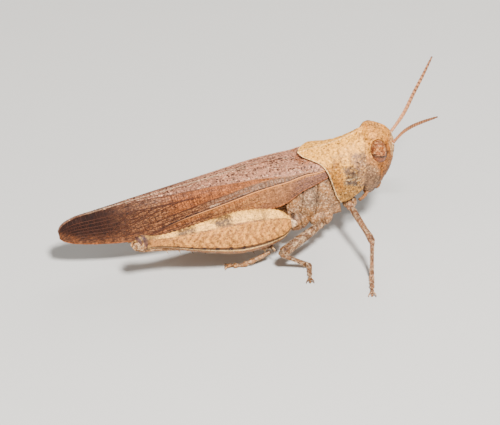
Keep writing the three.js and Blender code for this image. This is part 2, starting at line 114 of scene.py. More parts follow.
def smooth(*knots: tuple[float, float]) -> Profile:
    """Makes a smooth function through a few knots, level beyond its ends.

    Args:
        knots: Pairs of a place and the value there.

    Returns:
        The function, which takes and gives arrays.
    """
    at, value = np.array(sorted(knots), float).T
    slope = np.empty_like(value)
    slope[1:-1] = (value[2:] - value[:-2]) / (at[2:] - at[:-2])
    slope[0] = (value[1] - value[0]) / (at[1] - at[0])
    slope[-1] = (value[-1] - value[-2]) / (at[-1] - at[-2])

    def profile(place: Array) -> Array:
        """Reads the smooth function.

        Args:
            place: Where it is asked.

        Returns:
            The value at each place.
        """
        place = np.clip(np.asarray(place, float), at[0], at[-1])
        i = np.clip(np.searchsorted(at, place, side="right"), 1, len(at) - 1)
        gap = at[i] - at[i - 1]
        t = (place - at[i - 1]) / gap
        ease = t * t * (3 - 2 * t)
        bend = gap * t * (1 - t) * ((1 - t) * slope[i - 1] - t * slope[i])
        return value[i - 1] + (value[i] - value[i - 1]) * ease + bend

    return profile


def mix(start: Array, end: Array, share: Array) -> Array:
    """Goes from start to end by a share."""
    return start + (end - start) * share


def bell(distance: Array, width: float) -> Array:
    """A soft bump that falls to a third at the given width."""
    return np.exp(-((distance / width) ** 2))


def ease(value: Array, low: float, high: float) -> Array:
    """Rises smoothly from 0 at low to 1 at high, or falls where low is the greater."""
    t = np.clip((value - low) / (high - low), 0, 1)
    return t * t * (3 - 2 * t)


def unit(vectors: Array) -> Array:
    """Vectors of length one."""
    return vectors / np.maximum(np.linalg.norm(vectors, axis=-1, keepdims=True), TINY)


def circle(count: int) -> Array:
    """Angles that go once round."""
    return 2 * math.pi * np.arange(count) / count


def crowd(start: float, end: float, count: int) -> Array:
    """Numbers from start to end that crowd towards both."""
    return mix(start, end, (1 - np.cos(np.linspace(0, math.pi, count))) / 2)


def to_line(x: Array, z: Array, start: Sequence[float], end: Sequence[float]) -> Array:
    """Measures in the x-z plane from points to the stretch between two places.

    Args:
        x: The points' x.
        z: The points' z.
        start: One end of the stretch.
        end: Its other end.

    Returns:
        The distances.
    """
    run = np.subtract(end, start)
    share = ((x - start[0]) * run[0] + (z - start[1]) * run[1]) / (run @ run)
    share = np.clip(share, 0, 1)
    return np.hypot(x - start[0] - share * run[0], z - start[1] - share * run[1])


def through(points: Array, share: Array) -> Array:
    """Points on centripetal Catmull-Rom curves through control points.

    Args:
        points: Control points, shaped (..., count, 3).
        share: How far along each curve, 0 to 1 and even between controls, shaped (...).

    Returns:
        Points shaped (..., 3).
    """
    count = points.shape[-2]
    first = 2 * points[..., :1, :] - points[..., 1:2, :]
    last = 2 * points[..., -1:, :] - points[..., -2:-1, :]
    padded = np.concatenate([first, points, last], axis=-2)
    place = np.clip(share, 0, 1) * (count - 1)
    i = np.minimum(place.astype(int), count - 2)
    w = (place - i)[..., None]
    p0, p1, p2, p3 = (
        np.take_along_axis(padded, (i + k)[..., None, None].repeat(3, -1), axis=-2)[..., 0, :]
        for k in range(4)
    )
    d0, d1, d2 = (
        np.sqrt(np.maximum(np.linalg.norm(b - a, axis=-1), TINY))[..., None]
        for a, b in ((p0, p1), (p1, p2), (p2, p3))
    )
    m1 = ((p1 - p0) / d0 - (p2 - p0) / (d0 + d1) + (p2 - p1) / d1) * d1
    m2 = ((p2 - p1) / d1 - (p3 - p1) / (d1 + d2) + (p3 - p2) / d2) * d1
    cubic = 2 * p1 - 2 * p2 + m1 + m2
    square = -3 * p1 + 3 * p2 - 2 * m1 - m2
    return p1 + m1 * w + square * w**2 + cubic * w**3


def course(controls: Sequence[Sequence[float]], count: int) -> Array:
    """A line of evenly spaced points through a few controls.

    Args:
        controls: The points that the line goes through.
        count: How many points to give.

    Returns:
        Points shaped (count, 3).
    """
    shares = np.linspace(0, 1, 24 * len(controls))
    fine = through(np.broadcast_to(np.array(controls, float), (len(shares), len(controls), 3)), shares)
    run = np.concatenate([[0], np.cumsum(np.linalg.norm(np.diff(fine, axis=0), axis=1))])
    wanted = np.linspace(0, run[-1], count)
    return np.stack([np.interp(wanted, run, fine[:, axis]) for axis in range(3)], axis=-1)


def outward(points: Array, closed: bool) -> Array:
    """Unit normals of a grid of points, away from the middle of each row.

    Args:
        points: Rows by columns of points.
        closed: Whether the columns run all the way round.

    Returns:
        Normals of the same shape.
    """
    along = np.gradient(points, axis=0)
    if closed:
        around = (np.roll(points, -1, axis=1) - np.roll(points, 1, axis=1)) / 2
    else:
        around = np.gradient(points, axis=1)
    normals = unit(np.cross(along, around))
    away = points - points.mean(axis=1, keepdims=True)
    return normals if (normals * away).sum() > 0 else -normals


def raised(points: Array, height: Array, closed: bool = True) -> Array:
    """A grid of points moved out along its normals by a height."""
    return points + outward(points, closed) * height[..., None]


def across_sections(x: Array, controls: Sequence[tuple[Array, Array]], share: Array) -> Array:
    """Points on curves that each lie across the insect at one x.

    Args:
        x: Where the curves stand.
        controls: The y and z of their control points, from the top down.
        share: How far along each curve.

    Returns:
        The points.
    """
    points = np.stack([np.stack([x, y, z], axis=-1) for y, z in controls], axis=-2)
    return through(points, share)


def turned(points: Array, along: Array, across: Array, over: Array) -> Array:
    """A small shape's points with its x, y and z laid along three directions."""
    return points[..., :1] * along + points[..., 1:2] * across + points[..., 2:] * over


def swept(
    line: Array, heights: Array, widths: Array, up: Sequence[float], sides: int, square: float = 1.0
) -> Array:
    """Rings of a tapering body along a line.

    Args:
        line: Points of the middle line.
        heights: Half heights along up at each point.
        widths: Half widths across it at each point.
        up: The direction that heights are measured along.
        sides: How many points go round.
        square: Under 1 makes the section boxier, over 1 more pointed.

    Returns:
        Points shaped (len(line), sides, 3), anticlockwise from the across direction.
    """
    along = unit(np.gradient(line, axis=0))
    across = unit(np.cross(np.asarray(up, float), along))
    over = np.cross(along, across)
    angle = circle(sides)
    shape = [np.sign(f) * np.abs(f) ** square for f in (np.cos(angle), np.sin(angle))]
    return (
        line[:, None]
        + across[:, None] * (widths[:, None] * shape[0])[..., None]
        + over[:, None] * (heights[:, None] * shape[1])[..., None]
    )


def ovoid(centre: Sequence[float], radii: Sequence[float], rows: int, columns: int) -> Array:
    """Rings of an egg shape from its front to its back.

    Args:
        centre: Its middle.
        radii: Its half sizes along x, y and z.
        rows: How many rings it gets.
        columns: How many points each ring gets.

    Returns:
        Points shaped (rows, columns, 3).
    """
    turn = np.linspace(0.02, math.pi - 0.02, rows)[:, None]
    angle = circle(columns)[None]
    x = radii[0] * np.cos(turn) + 0 * angle
    y = radii[1] * np.sin(turn) * np.cos(angle)
    z = radii[2] * np.sin(turn) * np.sin(angle)
    return np.stack([x, y, z], axis=-1) + np.asarray(centre, float)


def loop_through(controls: Array, count: int) -> Array:
    """Rings on closed Catmull-Rom curves through control points.

    Args:
        controls: Control points of each ring, shaped (rows, points, 3).
        count: How many points each ring gets.

    Returns:
        Points shaped (rows, count, 3).
    """
    number = controls.shape[1]
    place = np.arange(count) * number / count
    i = place.astype(int)
    w = (place - i)[None, :, None]
    p0, p1, p2, p3 = (controls[:, (i + k) % number] for k in (-1, 0, 1, 2))
    cubic = 3 * p1 - p0 - 3 * p2 + p3
    square = 2 * p0 - 5 * p1 + 4 * p2 - p3
    return 0.5 * (2 * p1 + (p2 - p0) * w + square * w**2 + cubic * w**3)


def trunk(x: Array, half: Sequence[tuple[Array | float, Array | float]], count: int) -> Array:
    """Rings of the trunk at each x.

    Args:
        x: Where the rings stand.
        half: The right half profile from the back down to the belly, as pairs of a width and a height.
        count: How many points each ring gets.

    Returns:
        Points shaped (len(x), count, 3).
    """
    right = [(-1, y, z) for y, z in half]
    left = [(1, y, z) for y, z in half[-2:0:-1]]
    controls = [np.stack([x, sign * (y + 0 * x), z + 0 * x], axis=-1) for sign, y, z in right + left]
    return loop_through(np.stack(controls, axis=1), count)


# ---------------------------------------------------------------- Meshes


@dataclass(frozen=True)
class Stance:
    """Where the insect stands in the frame, read from the eyes of the solids."""

    shift: Array

    @classmethod
    def read(cls, eye: Sequence[float]) -> Stance:
        """Finds the shift from a known eye centre.

        Args:
            eye: The left eye's centre in the body frame.

        Returns:
            The stance.
        """
        corners = [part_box(f"eye_{side.word}") for side in Side]
        centres = np.array([(np.array(low) + np.array(high)) / 2 for low, high in corners]) / MM
        level = eye[0] * math.cos(PITCH) - eye[2] * math.sin(PITCH)
        return cls(np.array([centres[:, 0].mean() - level, centres[:, 1].mean(), 0.0]))

    def tilt(self, points: Array) -> Array:
        """Body frame to floor frame, both in millimetres.

        Args:
            points: Points in the body frame.

        Returns:
            The points in the floor frame.
        """
        points = np.asarray(points, float)
        x, y, z = points[..., 0], points[..., 1], points[..., 2]
        level = x * math.cos(PITCH) - z * math.sin(PITCH)
        rise = x * math.sin(PITCH) + z * math.cos(PITCH) + BACK_HEIGHT
        return np.stack([level, y, rise], axis=-1)

    def floor(self, points: Array) -> Array:
        """Floor frame in millimetres to the frame's own metres."""
        return (np.asarray(points, float) + self.shift) * MM

    def body(self, points: Array) -> Array:
        """Body frame in millimetres to the frame's own metres."""
        return self.floor(self.tilt(points))


@dataclass
class Skin:
    """A closed body over rings of points, with marks that its finish reads."""

    points: Array
    marks: dict[str, Array] = field(default_factory=dict)
    cap: Cap = Cap.FAN

    @classmethod
    def thin(cls, face: Array, depth: Array, marks: Mapping[str, Array]) -> Skin:
        """Makes a thin sheet whose two faces carry the same marks.

        Args:
            face: The outer face.
            depth: How thick the sheet is at each point.
            marks: The outer face's marks.

        Returns:
            The skin, with each row's outer face and then its inner face going back.
        """
        inner = face - outward(face, closed=False) * depth[..., None]
        both = {name: np.concatenate([m, m[:, ::-1]], axis=1) for name, m in marks.items()}
        return cls(np.concatenate([face, inner[:, ::-1]], axis=1), both, Cap.STRIP)

    def faces(self, offset: int) -> list[list[int]]:
        """Lists the faces.

        Args:
            offset: The index of the first point.

        Returns:
            Quads, and triangles where an end is a fan.
        """
        rows, columns = self.points.shape[:2]
        index = np.arange(rows * columns).reshape(rows, columns) + offset
        beside = np.roll(index, -1, axis=1)
        quads = np.stack([index[:-1], beside[:-1], beside[1:], index[1:]], axis=-1).reshape(-1, 4)
        if self.cap is Cap.FAN:
            middle = offset + rows * columns
            first = [[middle, b, a] for a, b in zip(index[0], beside[0])]
            last = [[middle + 1, a, b] for a, b in zip(index[-1], beside[-1])]
            return quads.tolist() + first + last
        near = np.arange(columns // 2 - 1)
        far = columns - 1 - near
        strip = np.stack([near, far, far - 1, near + 1], axis=-1)
        return quads.tolist() + index[0][strip].tolist() + index[-1][strip[:, ::-1]].tolist()

    def spots(self, values: Array) -> Array:
        """Flattens values on the grid, with a mean for the middle of each fan.

        Args:
            values: Values on the grid.

        Returns:
            One value for each point of the mesh.
        """
        flat = values.reshape(-1, *values.shape[2:])
        if self.cap is Cap.STRIP:
            return flat
        return np.concatenate([flat, values[:1].mean(axis=1), values[-1:].mean(axis=1)])


def is_inside_out(vertices: Array, faces: Iterable[Sequence[int]]) -> bool:
    """Tells from the signed volume whether a closed body's faces point inwards."""
    corners = np.array([face[:3] for face in faces] + [[f[0], f[2], f[3]] for f in faces if len(f) == 4])
    a, b, c = (vertices[corners[:, k]] for k in range(3))
    return float((a * np.cross(b, c)).sum()) < 0


def new_piece(
    name: str,
    points: Array,
    marks: Mapping[str, Array],
    edges: Sequence[Sequence[int]] = (),
    faces: Sequence[Sequence[int]] = (),
) -> Object:
    """Makes an object at the origin and links it into the scene.

    Args:
        name: Its name.
        points: Its points in the frame's metres.
        marks: Values on its points: numbers are stored as floats, and triples as vectors.
        edges: Its edges, where no face gives them.
        faces: Its faces.

    Returns:
        The object, smooth shaded.
    """
    mesh = bpy.data.meshes.new(name)
    mesh.from_pydata(points.tolist(), edges, faces)
    mesh.shade_smooth()
    for key, values in marks.items():
        kind, word = ("FLOAT", "value") if values.ndim == 1 else ("FLOAT_VECTOR", "vector")
        attribute = mesh.attributes.new(key, kind, "POINT")
        attribute.data.foreach_set(word, np.ascontiguousarray(values, np.float32).ravel())
    made = bpy.data.objects.new(name, mesh)
    bpy.context.scene.collection.objects.link(made)
    return made


def build(name: str, skins: Sequence[Skin], place: Callable[[Array], Array]) -> Object:
    """Makes one object of one or more closed skins.

    Args:
        name: The piece's name.
        skins: Its skins, which all carry the same marks.
        place: Turns their points into the frame's metres.

    Returns:
        The object, smooth shaded, with its faces pointing out.
    """
    vertices: list[Array] = []
    faces: list[list[int]] = []
    for skin in skins:
        points = place(skin.spots(skin.points))
        own = skin.faces(0)
        if is_inside_out(points - points.mean(axis=0), own):
            own = [face[::-1] for face in own]
        offset = sum(len(v) for v in vertices)
        faces += [[i + offset for i in face] for face in own]
        vertices.append(points)
    marks = {key: np.concatenate([s.spots(s.marks[key]) for s in skins]) for key in skins[0].marks}
    return new_piece(name, np.concatenate(vertices), marks, faces=faces)


def settle(piece: Object, slot: str, *nodes: str) -> None:
    """Sets a finished piece on the frame.

    Args:
        piece: The piece.
        slot: A material slot name for it; not used.
        nodes: The solids that it stands for.
    """
    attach(piece, ROOT)
    if nodes:
        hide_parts(*nodes)
    LOG.info("%s: %d faces, for %s", piece.name, len(piece.data.polygons), ", ".join(nodes) or "detail")


# ---------------------------------------------------------------- Node trees


class Value:
    """A number socket that is written with Python's operators. Each adds a Math node."""

    def __init__(self, maker: Maker, socket: NodeSocket) -> None:
        """Wraps a socket of a maker's tree."""
        self.maker = maker
        self.socket = socket

    def __add__(self, other: Value | float) -> Value:
        """Sum."""
        return self.maker.maths("ADD", self, other)

    def __sub__(self, other: Value | float) -> Value:
        """Difference."""
        return self.maker.maths("SUBTRACT", self, other)

    def __rsub__(self, other: Value | float) -> Value:
        """Difference from a plain number."""
        return self.maker.maths("SUBTRACT", other, self)

    def __mul__(self, other: Value | float) -> Value:
        """Product."""
        return self.maker.maths("MULTIPLY", self, other)

    def __rtruediv__(self, other: Value | float) -> Value:
        """Quotient of a plain number."""
        return self.maker.maths("DIVIDE", other, self)

    def __pow__(self, other: Value | float) -> Value:
        """Power."""
        return self.maker.maths("POWER", self, other)

    def __abs__(self) -> Value:
        """Size without sign."""
        return self.maker.maths("ABSOLUTE", self)

    __radd__ = __add__
    __rmul__ = __mul__


class Maker:
    """Adds nodes to a tree."""

    def __init__(self, tree: NodeTree) -> None:
        """Starts on an empty tree."""
        self.tree = tree

    def node(
        self,
        kind: str,
        settings: Mapping[str, object] | None = None,
        inputs: Mapping[str | int, object] | None = None,
    ) -> Node:
        """Adds one node.

        Args:
            kind: The node's type.
            settings: Its properties, which are set first.
            inputs: Values or links for its sockets, by name or place.

        Returns:
            The node.
        """
        made = self.tree.nodes.new(kind)
        for name, value in (settings or {}).items():
            setattr(made, name, value)
        for name, value in (inputs or {}).items():
            value = value.socket if isinstance(value, Value) else value
            if isinstance(value, NodeSocket):
                self.tree.links.new(value, made.inputs[name])
            else:
                made.inputs[name].default_value = value
        return made

    def give(
        self,
        kind: str,
        settings: Mapping[str, object] | None = None,
        inputs: Mapping[str | int, object] | None = None,
    ) -> NodeSocket:
        """Adds one node, as node does, and gives its first result."""
        return self.node(kind, settings, inputs).outputs[0]

    def maths(self, operation: str, *values: Value | float) -> Value:
        """Adds a Math node and gives its result."""
        return Value(self, self.give("ShaderNodeMath", {"operation": operation}, dict(enumerate(values))))

    def vector(self, operation: str, *values: object) -> NodeSocket:
        """Adds a Vector Math node. A scale takes its number last."""
        slots = (0, "Scale") if operation == "SCALE" else range(len(values))
        made = self.node("ShaderNodeVectorMath", {"operation": operation}, dict(zip(slots, values)))
        return made.outputs["Value" if operation in ("LENGTH", "DOT_PRODUCT") else "Vector"]

    def split(self, vector: NodeSocket) -> tuple[Value, Value, Value]:
        """The three numbers of a vector."""
        made = self.node("ShaderNodeSeparateXYZ", {}, {0: vector})
        return tuple(Value(self, socket) for socket in made.outputs)

    def join(self, x: Value | float, y: Value | float, z: Value | float) -> NodeSocket:
        """A vector of three numbers."""
        return self.give("ShaderNodeCombineXYZ", {}, {0: x, 1: y, 2: z})

    def mask(self, value: Value | float, low: float, high: float) -> Value:
        """Rises smoothly from 0 at low to 1 at high, or falls where low is the greater.

        Args:
            value: The number that decides.
            low: Where the mask is 0.
            high: Where the mask is 1.

        Returns:
            The mask.
        """
        if low > high:
            return 1 - self.mask(value, high, low)
        limits = {"Value": value, "From Min": low, "From Max": high}
        return Value(self, self.give("ShaderNodeMapRange", {"interpolation_type": "SMOOTHSTEP"}, limits))


class Recipe(Maker):
    """A Geometry Nodes tree with named sizes, which ends in Realize Instances and Set Material."""

    def __init__(self, name: str, **sizes: float | int) -> None:
        """Starts a tree.

        Args:
            name: Its name.
            sizes: Its inputs and their usual values. A whole number makes an integer input.
        """
        super().__init__(bpy.data.node_groups.new(name, "GeometryNodeTree"))
        face = self.tree.interface
        face.new_socket("Geometry", in_out="OUTPUT", socket_type="NodeSocketGeometry")
        face.new_socket("Geometry", in_out="INPUT", socket_type="NodeSocketGeometry")
        face.new_socket("Material", in_out="INPUT", socket_type="NodeSocketMaterial")
        for key, usual in sizes.items():
            kind = "NodeSocketInt" if isinstance(usual, int) else "NodeSocketFloat"
            face.new_socket(key, in_out="INPUT", socket_type=kind).default_value = usual
        self.given = self.node("NodeGroupInput").outputs

    def size(self, name: str) -> Value:
        """A named input as a number."""
        return Value(self, self.given[name])

    def mark(self, name: str, kind: str = "FLOAT") -> NodeSocket:
        """A mark that the mesh carries."""
        made = self.node("GeometryNodeInputNamedAttribute", {"data_type": kind}, {"Name": name})
        return made.outputs["Attribute"]

    def keep(
        self, geometry: NodeSocket, name: str, value: object, kind: str, domain: str = "POINT"
    ) -> NodeSocket:
        """Stores a value on geometry under a name."""
        inputs = {"Geometry": geometry, "Name": name, "Value": value}
        return self.give("GeometryNodeStoreNamedAttribute", {"data_type": kind, "domain": domain}, inputs)

    def place(self) -> NodeSocket:
        """Where each point lies."""
        return self.give("GeometryNodeInputPosition")

    def dots(self) -> NodeSocket:
        """The given mesh as bare points."""
        return self.give("GeometryNodeMeshToPoints", {}, {"Mesh": self.given["Geometry"]})

    def smooth(self, geometry: NodeSocket) -> NodeSocket:
        """Shades geometry smooth."""
        return self.give("GeometryNodeSetShadeSmooth", {}, {"Geometry": geometry})

    def upright(self, aim: NodeSocket) -> NodeSocket:
        """The turn that brings z onto an aim."""
        return self.give("FunctionNodeAlignRotationToVector", {"axis": "Z"}, {"Vector": aim})

    def copies(
        self, points: NodeSocket, thing: NodeSocket, turn: NodeSocket, scale: NodeSocket
    ) -> NodeSocket:
        """Sets a turned and scaled copy of a thing on each point."""
        inputs = {"Points": points, "Instance": thing, "Rotation": turn, "Scale": scale}
        return self.give("GeometryNodeInstanceOnPoints", {}, inputs)

    def finish(self, geometry: NodeSocket) -> NodeTree:
        """Realizes the instances, sets the material and closes the tree.

        Args:
            geometry: What the recipe made.

        Returns:
            The recipe's tree.
        """
        real = self.give("GeometryNodeRealizeInstances", {}, {"Geometry": geometry})
        inputs = {"Geometry": real, "Material": self.given["Material"]}
        self.node("NodeGroupOutput", {}, {"Geometry": self.give("GeometryNodeSetMaterial", {}, inputs)})
        return self.tree

    def swell(self, height: Value) -> NodeTree:
        """Moves the skin out along its normals by a height and closes the tree."""
        offset = self.vector("SCALE", self.give("GeometryNodeInputNormal"), height)
        inputs = {"Geometry": self.given["Geometry"], "Offset": offset}
        return self.finish(self.give("GeometryNodeSetPosition", {}, inputs))


def grow(piece: Object, tree: NodeTree, material: Material, **sizes: float | int) -> Object:
    """Runs a recipe on a piece and leaves the result as its plain mesh.

    Args:
        piece: The piece, which has no modifier yet.
        tree: The recipe.
        material: The finish for the result.
        sizes: Values for the recipe's inputs.

    Returns:
        The same piece.
    """
    modifier = piece.modifiers.new(tree.name, "NODES")
    modifier.node_group = tree
    sockets = {item.name: item.identifier for item in tree.interface.items_tree if item.in_out == "INPUT"}
    for name, value in {"Material": material, **sizes}.items():
        modifier[sockets[name]] = value
    graph = bpy.context.evaluated_depsgraph_get()
    made = bpy.data.meshes.new_from_object(
        piece.evaluated_get(graph), preserve_all_data_layers=True, depsgraph=graph
    )
    piece.modifiers.remove(modifier)
    before = piece.data
    piece.data = made
    bpy.data.meshes.remove(before)
    return piece


def show(
    name: str,
    skins: Sequence[Skin],
    place: Callable[[Array], Array],
    finish: Material,
    slot: str,
    *nodes: str,
    recipe: NodeTree | None = None,
    **sizes: float | int,
) -> None:
    """slot: A material slot name for it, which is passed on to settle and not used there.
        nodes: The solids that it stands for.
        recipe: The recipe that it goes through, if any.
        sizes: Values for the recipe's inputs.
    """
    piece = build(name, skins, place)
    if recipe is None:
        piece.data.materials.append(finish)
    else:
        grow(piece, recipe, finish, **sizes)
    settle(piece, slot, *nodes)


def grained_shell() -> NodeTree:
    """Beads and dimples that stand out of a shell by its grain mark.

    Returns:
        The recipe's tree.
    """
    recipe = Recipe("Grained shell", Depth=0.04 * MM, Size=0.34 * MM, Seed=3.0)
    scale = 1 / recipe.size("Size")
    place = {"Vector": recipe.place(), "W": recipe.size("Seed")}
    beads = recipe.node(
        "ShaderNodeTexVoronoi",
        {"voronoi_dimensions": "4D", "feature": "SMOOTH_F1"},
        {**place, "Scale": scale, "Smoothness": 0.4},
    )
    bead = 0.45 - Value(recipe, beads.outputs["Distance"])
    cloud = {**place, "Scale": scale * 0.3, "Detail": 2.0}
    swell = Value(recipe, recipe.give("ShaderNodeTexNoise", {"noise_dimensions": "4D"}, cloud))
    height = (bead + swell - 0.5) * recipe.size("Depth")
    return recipe.swell(height * Value(recipe, recipe.mark("grain")))


def herringbone() -> NodeTree:
    """Two rows of slanting ribs that meet in arrow heads along a thigh's outer face.

    Returns:
        The recipe's tree.
    """
    recipe = Recipe("Herringbone", Count=RIB_COUNT, Slant=RIB_SLANT, Depth=0.035 * MM)
    share, height, outer = recipe.split(recipe.mark("lie", "FLOAT_VECTOR"))
    rows = share * recipe.size("Count") + abs(height + 0.06) * recipe.size("Slant")
    zone = recipe.mask(height, -0.66, -0.56) * recipe.mask(height, 0.56, 0.46) * recipe.mask(outer, 0.1, 0.4)
    zone = zone * recipe.mask(share, 0.84, 0.74) * recipe.mask(share, 0.03, 0.1)
    return recipe.swell(recipe.maths("SINE", rows * math.tau) * zone * recipe.size("Depth"))


def spine_row() -> NodeTree:
    """A curved thorn on each point, along its aim and by its reach and girth marks.

    Returns:
        The recipe's tree.
    """
    recipe = Recipe("Spine row", Sides=7, Bend=0.16)
    cone = {"Vertices": recipe.given["Sides"], "Side Segments": 5, "Radius Top": 0.04, "Depth": 1.0}
    thorn = recipe.node("GeometryNodeMeshCone", {}, cone).outputs["Mesh"]
    rise = recipe.split(recipe.place())[2]
    bend = recipe.join(rise * rise * recipe.size("Bend"), 0.0, 0.0)
    shaped = recipe.give("GeometryNodeSetPosition", {}, {"Geometry": thorn, "Offset": bend})
    kept = recipe.smooth(recipe.keep(shaped, "tip", rise, "FLOAT"))
    girth = recipe.mark("girth")
    scale = recipe.join(girth, girth, recipe.mark("reach"))
    turn = recipe.upright(recipe.mark("aim", "FLOAT_VECTOR"))
    return recipe.finish(recipe.copies(recipe.dots(), kept, turn, scale))


def bristle_coat() -> NodeTree:
    """Fine bristles over the parts of a skin that carry a fuzz mark.

    Returns:
        The recipe's tree. Its bristles carry the patch map that a coat piece needs.
    """
    recipe = Recipe("Bristle coat", Density=2.0e6, Length=0.45 * MM, Girth=0.016 * MM, Seed=5)
    seed = recipe.given["Seed"]
    density = recipe.size("Density") * Value(recipe, recipe.mark("fuzz"))
    spread = recipe.node(
        "GeometryNodeDistributePointsOnFaces",
        {"distribute_method": "RANDOM"},
        {"Mesh": recipe.given["Geometry"], "Density": density, "Seed": seed},
    )
    limits = {0: (-0.45, -0.45, -0.45), 1: (0.45, 0.45, 0.45), "Seed": seed}
    stray = recipe.give("FunctionNodeRandomValue", {"data_type": "FLOAT_VECTOR"}, limits)
    lean = recipe.vector("ADD", recipe.mark("lean", "FLOAT_VECTOR"), stray)
    turn = recipe.upright(recipe.vector("ADD", spread.outputs["Normal"], lean))
    length = recipe.node("FunctionNodeRandomValue", {"data_type": "FLOAT"}, {2: 0.5, 3: 1.0, "Seed": seed})
    girth = recipe.size("Girth")
    scale = recipe.join(girth, girth, Value(recipe, length.outputs[1]) * recipe.size("Length"))
    cone = {"Vertices": 3, "Radius Top": 0.1, "Radius Bottom": 1.0, "Depth": 1.0}
    hair = recipe.node("GeometryNodeMeshCone", {}, cone).outputs["Mesh"]
    across = recipe.vector("MULTIPLY", recipe.place(), (0.0015, 0.0015, 0.0))
    kept = recipe.keep(hair, "patch", across, "FLOAT_VECTOR")
    placed = recipe.copies(spread.outputs["Points"], kept, turn, scale)
    real = recipe.give("GeometryNodeRealizeInstances", {}, {"Geometry": placed})
    root, patch = (recipe.mark(name, "FLOAT_VECTOR") for name in ("unrolled", "patch"))
    return recipe.finish(recipe.keep(real, "OFBake", recipe.vector("ADD", root, patch), "FLOAT2", "CORNER"))


def feeler_joints() -> NodeTree:
    """A flattened barrel on each point, turned and stretched by the point's marks.

    Returns:
        The recipe's tree.
    """
    recipe = Recipe("Feeler joints", Sides=14, Waist=0.16)
    barrel = recipe.node(
        "GeometryNodeMeshCylinder",
        {"fill_type": "TRIANGLE_FAN"},
        {"Vertices": recipe.given["Sides"], "Side Segments": 6, "Radius": 1.0, "Depth": 1.0},
    )
    x, y, z = recipe.split(recipe.place())
    narrow = 1 - recipe.size("Waist") * (abs(z) * 2) ** 3.0
    inputs = {"Geometry": barrel.outputs["Mesh"], "Position": recipe.join(x * narrow, y * narrow, z)}
    kept = recipe.keep(recipe.give("GeometryNodeSetPosition", {}, inputs), "up_joint", z, "FLOAT")
    turn = recipe.give(
        "FunctionNodeAxesToRotation",
        {"primary_axis": "Z", "secondary_axis": "X"},
        {0: recipe.mark("aim", "FLOAT_VECTOR"), 1: recipe.mark("blade", "FLOAT_VECTOR")},
    )
    stretch = recipe.mark("stretch", "FLOAT_VECTOR")
    return recipe.finish(recipe.copies(recipe.dots(), recipe.smooth(kept), turn, stretch))


def wing_ribs() -> NodeTree:
    """Round ribs along the edges of a net, as thick as its girth marks.

    Returns:
        The recipe's tree.
    """
    recipe = Recipe("Wing ribs", Sides=5)
    lines = recipe.give("GeometryNodeMeshToCurve", {}, {"Mesh": recipe.given["Geometry"]})
    rim = {"Resolution": recipe.given["Sides"], "Radius": 1.0}
    section = recipe.give("GeometryNodeCurvePrimitiveCircle", {}, rim)
    inputs = {"Curve": lines, "Profile Curve": section, "Scale": recipe.mark("girth"), "Fill Caps": True}
    return recipe.finish(recipe.smooth(recipe.give("GeometryNodeCurveToMesh", {}, inputs)))


# ---------------------------------------------------------------- Finishes


def tone(red: int, green: int, blue: int) -> Colour:
    """A colour given in display values from 0 to 255."""
    parts = [c / 255 for c in (red, green, blue)]
    linear = [c / 12.92 if c <= 0.04045 else ((c + 0.055) / 1.055) ** 2.4 for c in parts]
    return (*linear, 1.0)


